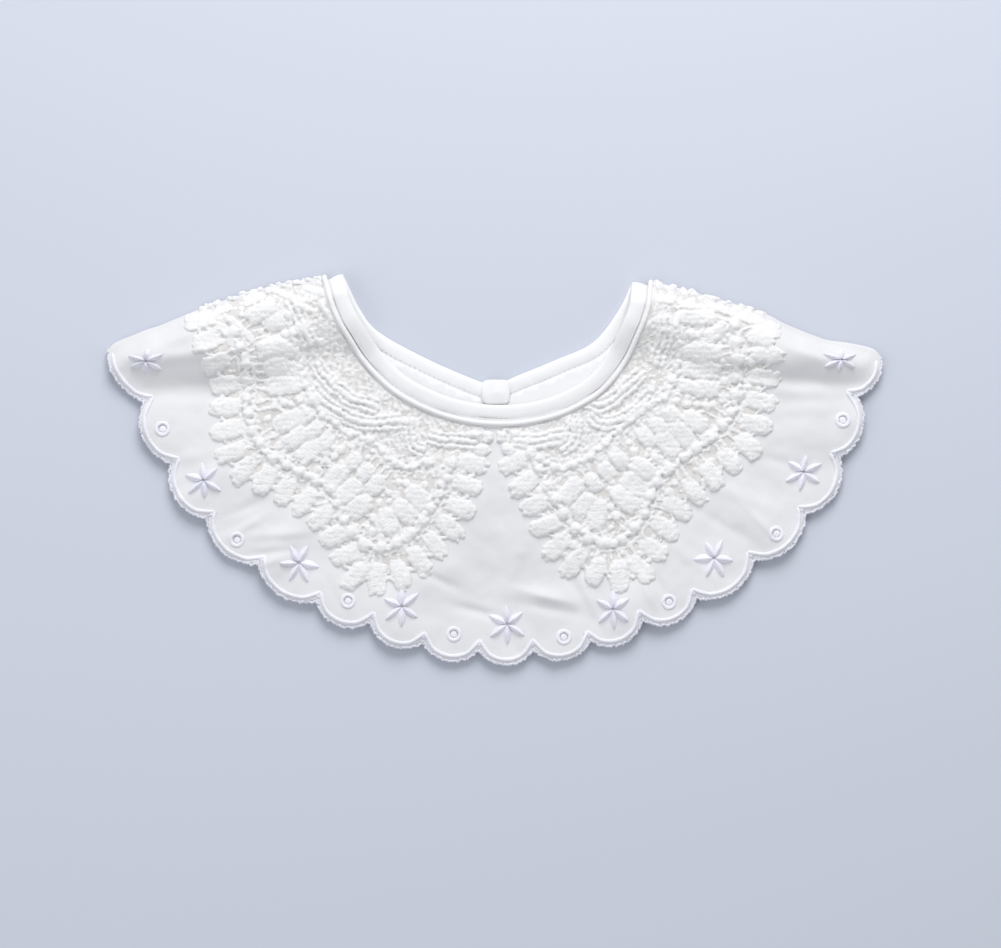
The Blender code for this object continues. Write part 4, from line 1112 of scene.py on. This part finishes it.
# The lace
def lace_ground(side):
    """The web of one lace half with its largest gaps open, and the outline of that half; its darker colour is painted
    shade.
    """
    neck = offset_curve(NECK, LACE_FROM_NECK)
    half = neck[(neck[:, 0] - LACE_MIDDLE) * side > 0.9]
    half = half[PAST_FOLD(half[:, 0], half[:, 1]) < -1.2]
    if side < 0:
        half = half[::-1]
    border = offset_curve(smooth_curve(LACE_ROWS[side]["border"][0], 6), -side * (BORDER_INSET[side] + 1.0))
    fold = smooth_curve(FOLDS[side], 6)
    out = fold[:, 0] * side
    fold = fold[(out > half[-1, 0] * side + 1.5) & (out < border[-1, 0] * side - 1.0)]
    fold = fold - np.stack([PAST_X(*fold.T), PAST_Y(*fold.T)], axis=1) * 0.6
    outline = np.concatenate([half, fold, border[::-1]])
    holes = [circle(middle, GAP_RADIUS, 10) for middle in LACE_GAPS[side]]
    points, faces = plan_sheet(outline, holes, WEB_SPACING)
    rise = 0.45 + 0.16 * THREAD_LUMPS(points[:, 0], points[:, 1])
    pile = Pile()
    pile.add(lay(points[:, 0], points[:, 1], np.maximum(rise, 0.12)), triangles=faces)
    item = pile.make(f"lace_ground_{SIDE_NAMES[side]}", LACE_GROUND_PAINTED_SHADE, "white_lace", weld=True)
    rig.replaces(item, "lace_left" if side < 0 else "lace_right")
    return item, outline


def turned_out(direction, local, degrees):
    """The outward side of a row's direction, turned a little at random."""
    turn = math.radians(local.uniform(-degrees, degrees))
    x, y = direction[1], -direction[0]
    return np.array([x * math.cos(turn) - y * math.sin(turn), x * math.sin(turn) + y * math.cos(turn)])


def covered(x, y, outline, side):
    """Whether places lie on one lace half, its strip over the shoulder fold included."""
    ends = abs(NECK_CORNERS[side][0]) + 9.0, abs(LACE_ROWS[side]["border"][0][-1][0]) + 1.0
    on_fold = (np.abs(PAST_FOLD(x, y)) < 3.8) & (x * side > ends[0]) & (x * side < ends[1])
    return (inside_loop(x, y, outline) | on_fold) & ((x - LACE_MIDDLE) * side > 1.2)


def add_net(relief, outline, side, seed):
    """The flat netted ground beside the neck, in waving rows."""
    for level, distance in enumerate(np.arange(*NET_ROWS)):
        ring, _ = resample(offset_curve(neck_curve(6), distance), step=0.5)
        keep = covered(ring[:, 0], ring[:, 1], outline, side)
        for number, run in enumerate(runs(ring, keep, 9)):
            relief.cord(run, 0.95, 0.75, seed + 700 + level * 20 + number, wave=0.8,
                        wave_pitch=3.0 + 0.9 * (level % 3), beading=0.3)


def add_petals(relief, curves, side, seed):
    """The petals at the border, in the fans and inside them, with their places, and the single pads."""
    rows = LACE_ROWS[side]
    inner, inner_count = INNER_ROWS[side]
    border = offset_curve(curves["border"], -side * BORDER_INSET[side])
    groups = (("border", border, rows["border"][1], PETAL_SIZE, 9, 0),
              ("fan", curves["fan"], rows["fan"][1], FAN_SIZE, 8, 100),
              ("inner", smooth_curve(inner, 8), inner_count, INNER_SIZE, 10, 150))
    placed = {}
    for name, curve, count, size, degrees, extra in groups:
        placed[name], directions = resample(curve, count=count)
        for index, (place, direction) in enumerate(zip(placed[name], directions)):
            local = np.random.default_rng(seed + extra + index)
            out = turned_out(direction, local, degrees)
            if name != "border" and index % 4 == 3:
                # Every fourth form of the inner rows is a pair of knots
                relief.knot(place + out * 1.5, 2.1, 2.0)
                relief.knot(place - out * 2.6, 1.7, 1.7)
            else:
                relief.petal(place, out, np.array(size) * local.uniform(0.92, 1.07, 3), seed + extra + index)
    for place, degrees, half_length, half_width in SHOULDER_PADS[side]:
        turn = math.radians(degrees)
        relief.petal(place, (math.cos(turn), math.sin(turn)), (half_length, half_width, 2.1),
                     seed + int(place[1] * 7))
    return placed


def add_bobbles(relief, curves, side, seed):
    """The round bobbles between the fans, and the small ones beside the net."""
    for name, (radius, height), extra in (("bobble", BOBBLE_SIZE, 200), ("net", SMALL_BOBBLE_SIZE, 300)):
        places, _ = resample(curves[name], count=LACE_ROWS[side][name][1])
        for index, place in enumerate(places):
            local = np.random.default_rng(seed + extra + index)
            relief.knot(place + local.normal(0, 0.3, 2), radius * local.uniform(0.85, 1.15), height)


def add_cords(relief, curves, side, seed):
    """The cords that run along the rows, and the scalloped ones, three side by side."""
    for name, shift, radius, height, wave, wave_pitch, extra in ROW_CORDS:
        relief.cord(offset_curve(curves[name], shift * side), radius, height, seed + extra, wave=wave,
                    wave_pitch=wave_pitch)
    for index, points in enumerate(LACE_CORDS[side]):
        curve = smooth_curve(points, 6)
        for shift, radius, height in TRIPLE_CORD:
            relief.cord(offset_curve(curve, shift), radius, height, seed + 420 + index * 10, wave=0.15)


def add_bars(relief, curves, placed, seed):
    """Pairs of bars from the petals to the next row, where it is neither near nor far."""
    number = 0
    for name, joined in (("border", "bobble"), ("fan", "bobble"), ("inner", "net")):
        target = curves[joined]
        for place in placed[name]:
            gaps = np.hypot(*(target - place).T)
            nearest = target[gaps.argmin()]
            if not 3.0 < gaps.min() < 16.0:
                continue
            number += 1
            along = (nearest - place) / gaps.min()
            beside = np.array([-along[1], along[0]])
            for shift in (-1.3, 1.3):
                line = np.array([place + along * 2.0 + beside * shift,
                                 (place + nearest) / 2 + beside * shift * 1.2,
                                 nearest + beside * shift * 0.8])
                relief.cord(smooth_curve(line, 4), 0.9, 1.15, seed + 500 + number)


def add_knots(relief, outline, side, seed):
    """Knots in what is left open, but for a few clear gaps: large ones first, then small ones."""
    local = np.random.default_rng(seed + 900)
    low = outline.min(axis=0)
    high = outline.max(axis=0) + 5.0
    for pitch, below, share, radius, height in FILLING_KNOTS:
        spots = np.stack(np.meshgrid(np.arange(low[0], high[0], pitch),
                                     np.arange(low[1], high[1], pitch)), axis=-1).reshape(-1, 2)
        spots = spots + local.uniform(-0.9, 0.9, spots.shape)
        for spot in spots[covered(spots[:, 0], spots[:, 1], outline, side)]:
            where = relief.near(spot, 0.5)
            level = relief.height[where].mean() if relief.height[where].size else 9.0
            far = min(math.dist(spot, gap) for gap in LACE_GAPS[side]) > 3.4
            if level < below and far and local.random() < share:
                relief.knot(spot, radius * local.uniform(0.8, 1.2), height * local.uniform(0.8, 1.15))


def lace_motifs(side, outline):
    """Everything that stands up from one lace half's web, as one relief."""
    seed = 1000 if side < 0 else 3000
    relief = Relief(outline, 9.0, seed)
    curves = {name: smooth_curve(points, 10) for name, (points, _) in LACE_ROWS[side].items()}
    add_net(relief, outline, side, seed)
    placed = add_petals(relief, curves, side, seed)
    add_bobbles(relief, curves, side, seed)
    add_cords(relief, curves, side, seed)
    add_bars(relief, curves, placed, seed)
    add_knots(relief, outline, side, seed)
    return relief.make(f"lace_motifs_{SIDE_NAMES[side]}", side)


# The neck
PIPING_FROM_NECK = BAND_WIDTH + SEAM_GAP + CORD_RADIUS
LIP_FROM_NECK = BAND_WIDTH + SEAM_GAP + 2 * CORD_RADIUS + 0.15
STITCH_PITCH = 2.1
STITCH_HALF = 0.62
BAND_ANGLES = np.linspace(0, 2 * math.pi, 26, endpoint=False)


def band_profile(thick):
    """A soft padded roll: places across the band and heights over its floor."""
    across = 0.5 * BAND_WIDTH * np.sign(np.cos(BAND_ANGLES)) * np.abs(np.cos(BAND_ANGLES)) ** 0.75
    up = thick * (0.5 + 0.5 * np.sign(np.sin(BAND_ANGLES)) * np.abs(np.sin(BAND_ANGLES)) ** 0.8)
    up = up * (1.0 - 0.1 * (across / BAND_WIDTH * 2) ** 2)
    return across, up


def band_rings(curve, count, floor_at, thick, seed, gather, slope):
    """Rings round a stretch of the band, softly dented and puckered, and its directions."""
    points, directions = resample(curve, count=count)
    local = np.random.default_rng(seed)
    across, up = band_profile(thick)
    up = up * (1.0 - slope * np.clip(across / BAND_WIDTH + 0.5, 0, 1))
    reach = np.linspace(0, 1, count)
    length = np.hypot(*(np.diff(curve, axis=0).T)).sum()
    outward = right_of(directions)
    middle = points + outward * BAND_WIDTH / 2
    floor = floor_at(middle[:, 0], middle[:, 1])
    slow, quick = (np.interp(reach, np.linspace(0, 1, draws), local.standard_normal(draws))
                   for draws in (26, int(length / 2.6)))
    share = across / BAND_WIDTH * 2
    # Small puckers near the seam, longer soft dents in the middle, and a groove where the stitches are
    pucker = gather * quick[:, None] * np.exp(-((share[None, :] - 0.55) / 0.45) ** 2)
    dent = 0.10 * slow[:, None] * np.exp(-(share[None, :] / 0.8) ** 2)
    stitch = -0.22 * np.exp(-((share[None, :] - 0.72) / 0.1) ** 2) * (np.sin(BAND_ANGLES)[None, :] > 0)
    z = floor[:, None] + up[None, :] + (pucker + dent + stitch) * (up[None, :] / thick)
    x = middle[:, 0:1] + outward[:, 0:1] * across[None, :]
    y = middle[:, 1:2] + outward[:, 1:2] * across[None, :]
    return np.stack([x, y, z], axis=-1), directions


def fold_over(ring, direction, pivot, steps):
    """Rings that carry the band round the shoulder fold."""
    rings = []
    for angle in np.linspace(0, math.pi, steps + 1)[1:]:
        lift = ring[:, 2] - pivot
        place = ring.copy()
        place[:, :2] += direction * (0.75 * lift * math.sin(angle))[:, None]
        place[:, 2] = pivot + lift * math.cos(angle)
        rings.append(place)
    return rings


def round_the_fold(end, direction):
    """Points that carry a cord on from its end round the shoulder fold."""
    direction = direction / np.linalg.norm(direction)
    radius = (end[2] - CORD_RADIUS - FOLD_BOTTOM) / 2
    angle = np.linspace(0.2, 2.0, 9)
    beyond = 0.6 * (radius + CORD_RADIUS) * np.sin(angle)
    return np.column_stack([end[0] + direction[0] * beyond, end[1] + direction[1] * beyond,
                            end[2] - (radius + CORD_RADIUS) * (1 - np.cos(angle))])


def on_floor(x, y):
    return np.zeros_like(x)


def back_neck(side):
    """The back's neck edge on one side, along the same way round as the front's."""
    line = smooth_curve(BACK_NECK[side], 8)
    return line[::-1] if side > 0 else line


def add_stitches(pile, line, height_at, radius):
    """Small stitches along a line, a little higher in the middle than at their ends."""
    points, directions = resample(line, step=STITCH_PITCH)
    for point, direction in zip(points[1:-1], directions[1:-1]):
        ends = np.array([point - direction * STITCH_HALF, point, point + direction * STITCH_HALF])
        z = height_at(ends[:, 0], ends[:, 1]) + np.array([-0.05, 0.08, -0.05])
        tube(pile, np.column_stack([ends, z]), radius, sides=5)


def build_piping(curve):
    """The covered cord beside the band, and its flat seam allowance, stitched down."""
    points, _ = resample(offset_curve(curve, PIPING_FROM_NECK), step=0.5)
    local = np.random.default_rng(61)
    lift = CORD_RADIUS + 0.1 + 0.08 * slow_noise(local.standard_normal, len(points), 9)
    path = on_cloth(points, lift)
    path = np.concatenate([round_the_fold(path[0], points[0] - points[1])[::-1], path,
                           round_the_fold(path[-1], points[-1] - points[-2])])
    pile = Pile()
    tube(pile, path, CORD_RADIUS * 0.98, sides=14, ridge=0.03, pitch=2.2)
    lip, _ = resample(offset_curve(curve, LIP_FROM_NECK), step=0.6)
    tube(pile, on_cloth(lip, 0.22), 0.55, sides=8, flat=0.45, ridge=0.08, pitch=1.6)
    return pile.make("piping_cord", BAND_CLOTH, "band_cotton")


def build_neck():
    """The band's three stretches, the piping and the small stitches along the band's outer edge."""
    made = {}
    curve = neck_curve(8)
    rings, directions = band_rings(curve, 380, UNDERSIDE, BAND_THICK, 11, 0.10, 0.3)
    rings, directions = rings[3:-3], directions[3:-3]
    first = fold_over(rings[0], -directions[0], (rings[0][:, 2].max() + 0.1) / 2, 8)
    last = fold_over(rings[-1], directions[-1], (rings[-1][:, 2].max() + 0.1) / 2, 8)
    pile = Pile()
    pile.add_grid(np.concatenate([first[::-1], rings, last], axis=0), wrap=True)
    made["front"] = pile.make("neck_band_front_cloth", BAND_CLOTH, "band_cotton")
    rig.replaces(made["front"], "neck_band_front")
    for side, name in SIDE_NAMES.items():
        # The back bands' cloth is painted lighter than the front band's, to lift the shade in the neck opening
        rings, _ = band_rings(back_neck(side), 170, on_floor, BACK_BAND_THICK, 21 + side, 0.05, 0.45)
        pile = Pile()
        pile.add_grid(rings, wrap=True)
        made[name] = pile.make(f"neck_band_back_{name}_cloth", BACK_BAND_PAINTED_LIGHT, "band_cotton")
        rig.replaces(made[name], f"neck_band_back_{name}")
    made["piping"] = build_piping(curve)
    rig.replaces(made["piping"], "piping")
    pile = Pile()
    add_stitches(pile, offset_curve(curve, 5.15), lambda x, y: UNDERSIDE(x, y) + BAND_THICK * 0.58, 0.17)
    for side in SIDE_NAMES:
        add_stitches(pile, offset_curve(back_neck(side), 5.0), lambda x, y: BACK_BAND_THICK * 0.56, 0.16)
    made["stitches"] = pile.make("neck_stitches", STITCH_THREAD, "band_cotton")
    return made


# The back
BACK_TOP = 0.86
BACK_BOTTOM = 0.12
BACK_SPACING = 2.6
TAB_SIZE = (5.4, 4.8, 1.1)      # half width, half length, thickness


def back_top(points):
    """The back cloth's upper side, a little wavy."""
    wave = 0.08 * np.sin(points[:, 0] * 0.21 + 1.0) * np.cos(points[:, 1] * 0.17)
    return np.column_stack([points, BACK_TOP + wave])


def build_back():
    """The two back panels under the front, each with its overcast edge; their cloth is painted lighter than the
    front's, to lift the shade there.
    """
    made = []
    notches = offset_corner(meeting_points(), MEETING_OUT)[1:-1]
    middle = (notches[7][0] + notches[8][0]) / 2
    local = np.random.default_rng(81)
    # The back's hem follows the front's, now a little inside it and now a little outside
    drift = -0.25 + 0.75 * slow_noise(local.random, len(HEM), 40)
    hem = HEM + right_of(unit_rows(np.gradient(HEM, axis=0))) * drift[:, None]
    for side, name in SIDE_NAMES.items():
        fold = smooth_curve(FOLDS[side], 6)
        seam = offset_curve(smooth_curve(BACK_NECK[side], 6), -side * (BAND_WIDTH - SEAM_TUCK))
        seam = seam[seam[:, 0] * side > 0.3]
        seam = np.concatenate([seam, [[side * 0.1, seam[-1, 1]]]])
        edge = hem[(hem[:, 0] - middle) * side > 0.5]
        shoulder = fold[np.abs(fold[:, 0]) > abs(seam[0, 0]) + 1.0]
        if side < 0:
            edge = np.concatenate([edge, [[middle - 0.4, edge[-1, 1]]]])
            outline = np.concatenate([shoulder[:-1], edge[1:], seam[::-1]])
        else:
            edge = np.concatenate([[[middle + 0.4, edge[0, 1]]], edge])
            outline = np.concatenate([edge[:-1], shoulder[:-1][::-1], seam])
        points, faces = plan_sheet(outline, [], BACK_SPACING)
        pile = Pile()
        pile.add(back_top(points), triangles=faces)
        ring = np.concatenate([outline, outline[:1]])
        pile.add_grid(np.stack([back_top(ring), np.column_stack([ring, np.full(len(ring), BACK_BOTTOM)])]))
        item = pile.make(f"back_cloth_{name}", BACK_CLOTH_PAINTED_LIGHT, "white_cotton", weld=True)
        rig.replaces(item, f"back_panel_{name}")
        pile = Pile()
        path, _ = resample(edge[1:-1], step=0.5)
        jitter = 0.07 * np.random.default_rng(90 + side).standard_normal((len(path), 2))
        tube(pile, np.column_stack([path + jitter, np.full(len(path), 0.62)]), 0.5, sides=6, ridge=0.12,
             pitch=0.9)
        made.append((item, pile.make(f"back_hem_{name}", STITCH_THREAD, "white_cotton")))
    return made


def build_tab():
    """The closure tab: a small soft folded strip, its cloth painted lighter to lift its shade."""
    half_x, half_y, thick = TAB_SIZE
    angle = np.linspace(0, 2 * math.pi, 48, endpoint=False)[None, :]
    level = np.linspace(-0.5 * math.pi, 0.5 * math.pi, 19)[:, None]
    share = np.cos(level) ** 0.45 + 0.004
    square = (np.abs(np.cos(angle)) ** 5 + np.abs(np.sin(angle)) ** 5) ** -0.2
    x = half_x * share * square * np.cos(angle)
    y = half_y * share * square * np.sin(angle)
    z = 0.5 * thick * np.sign(level) * np.abs(np.sin(level)) ** 0.8 + 0 * x
    # Softly waved, its sides lower than its middle, and its front end bent down
    z = z + 0.1 * np.sin(0.9 * x + 0.4) * np.cos(0.7 * y) - 0.014 * x * x + 0.1
    z = z + 0.17 * np.minimum(y, 0.0) - 0.16 * np.maximum(-1.5 - y, 0.0)
    grid = np.stack([x + TAB_PLACE[0], y + TAB_PLACE[1] - 0.4, z + BACK_BAND_THICK + 0.5], axis=-1)
    pile = Pile()
    pile.add_grid(grid, wrap=True)
    item = pile.make("closure_tab_cloth", BACK_BAND_PAINTED_LIGHT, "band_cotton")
    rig.replaces(item, "closure_tab")
    return item


# The floor, the light and the camera
FLOOR_HALF = 3.0
LENS = 85.0
SENSOR_WIDTH = 36.0
PHOTO_WIDTH = 1001
PIXEL = 0.389
VIEW_MIDDLE = (2.33, -2.72)
VIEW_LEVEL = 0.004


def build_floor():
    mesh = bpy.data.meshes.new("floor")
    mesh.from_pydata([(-FLOOR_HALF, -FLOOR_HALF, 0.0), (FLOOR_HALF, -FLOOR_HALF, 0.0),
                      (FLOOR_HALF, FLOOR_HALF, 0.0), (-FLOOR_HALF, FLOOR_HALF, 0.0)], [], [(0, 1, 2, 3)])
    material, _, shader = shader_of("pale_floor")
    shader.inputs["Base Color"].default_value = (0.59, 0.62, 0.70, 1.0)
    shader.inputs["Roughness"].default_value = 0.6
    shader.inputs["Specular IOR Level"].default_value = 0.2
    mesh.materials.append(material)
    floor = bpy.data.objects.new("floor", mesh)
    bpy.context.scene.collection.objects.link(floor)
    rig.stage(floor)


def area_light(name, place, target, size, energy, colour):
    light = bpy.data.lights.new(name, "AREA")
    light.shape = "DISK"
    light.size = size
    light.energy = energy
    light.color = colour
    item = bpy.data.objects.new(name, light)
    item.location = place
    item.rotation_mode = "QUATERNION"
    item.rotation_quaternion = (Vector(target) - Vector(place)).to_track_quat("-Z", "Y")
    bpy.context.scene.collection.objects.link(item)


def build_light():
    area_light("window", (0.09, 0.84, 0.72), (0.0, 0.0, 0.0), 0.7, 9.4, (1.0, 0.99, 0.985))
    area_light("bounce", (-0.7, -0.5, 0.9), (0.0, 0.0, 0.0), 1.2, 2.9, (0.96, 0.98, 1.0))
    world = bpy.data.worlds.new("sky")
    world.use_nodes = True
    background = world.node_tree.nodes["Background"]
    background.inputs["Color"].default_value = (0.93, 0.96, 1.0, 1.0)
    background.inputs["Strength"].default_value = 0.52
    bpy.context.scene.world = world
    bpy.context.scene.view_settings.view_transform = "Standard"
    bpy.context.scene.view_settings.look = "None"


def build_camera():
    """Straight above the collar, where the photo's scale is true 4 mm over the floor."""
    camera = bpy.data.cameras.new("camera")
    camera.lens = LENS
    camera.sensor_width = SENSOR_WIDTH
    item = bpy.data.objects.new("camera", camera)
    width = PHOTO_WIDTH * PIXEL * MM
    item.location = (VIEW_MIDDLE[0] * MM, (SHIFT_Y + VIEW_MIDDLE[1]) * MM,
                     LENS / SENSOR_WIDTH * width + VIEW_LEVEL)
    camera.clip_start = 0.01
    camera.clip_end = 20.0
    bpy.context.scene.collection.objects.link(item)
    bpy.context.scene.camera = item


build_floor()
build_light()
build_camera()

backs = build_back()
front_cloth = build_front_cloth()
on_front = [*build_hem_stitching(), build_stars(), build_eyelets()]
lace = []
for side in (-1, 1):
    ground, ground_outline = lace_ground(side)
    lace.append((ground, lace_motifs(side, ground_outline)))
neck = build_neck()
tab = build_tab()

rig.sheet(front_cloth, flat=(0.300, 0.149), area=0.0271, held="laid",
         rests_on=["back_cloth_left", "back_cloth_right"], with_pieces=on_front)
for cloth, stitched in backs:
    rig.sheet(cloth, flat=(0.153, 0.147), area=0.0131, held="laid", rests_on=["floor"], with_pieces=[stitched])
for ground, motifs in lace:
    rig.sheet(ground, flat=(0.117, 0.123), area=0.0058, held="laid", rests_on=["front_cloth"],
             with_pieces=[motifs])
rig.sheet(neck["front"], flat=(0.172, 0.010), held="folded", rests_on=["front_cloth"],
         with_pieces=[neck["piping"], neck["stitches"]])
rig.sheet(neck["left"], flat=(0.072, 0.010), held="folded", rests_on=["floor"])
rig.sheet(neck["right"], flat=(0.065, 0.010), held="folded", rests_on=["floor"])
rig.sheet(tab, flat=(0.011, 0.010), held="folded",
         rests_on=["neck_band_back_left_cloth", "neck_band_back_right_cloth"])

with open("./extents.json", "w") as sizes:
    json.dump({"cad": [list(corner) for corner in CAD_BOX], "look": [list(corner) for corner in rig.bounds()]},
              sizes)
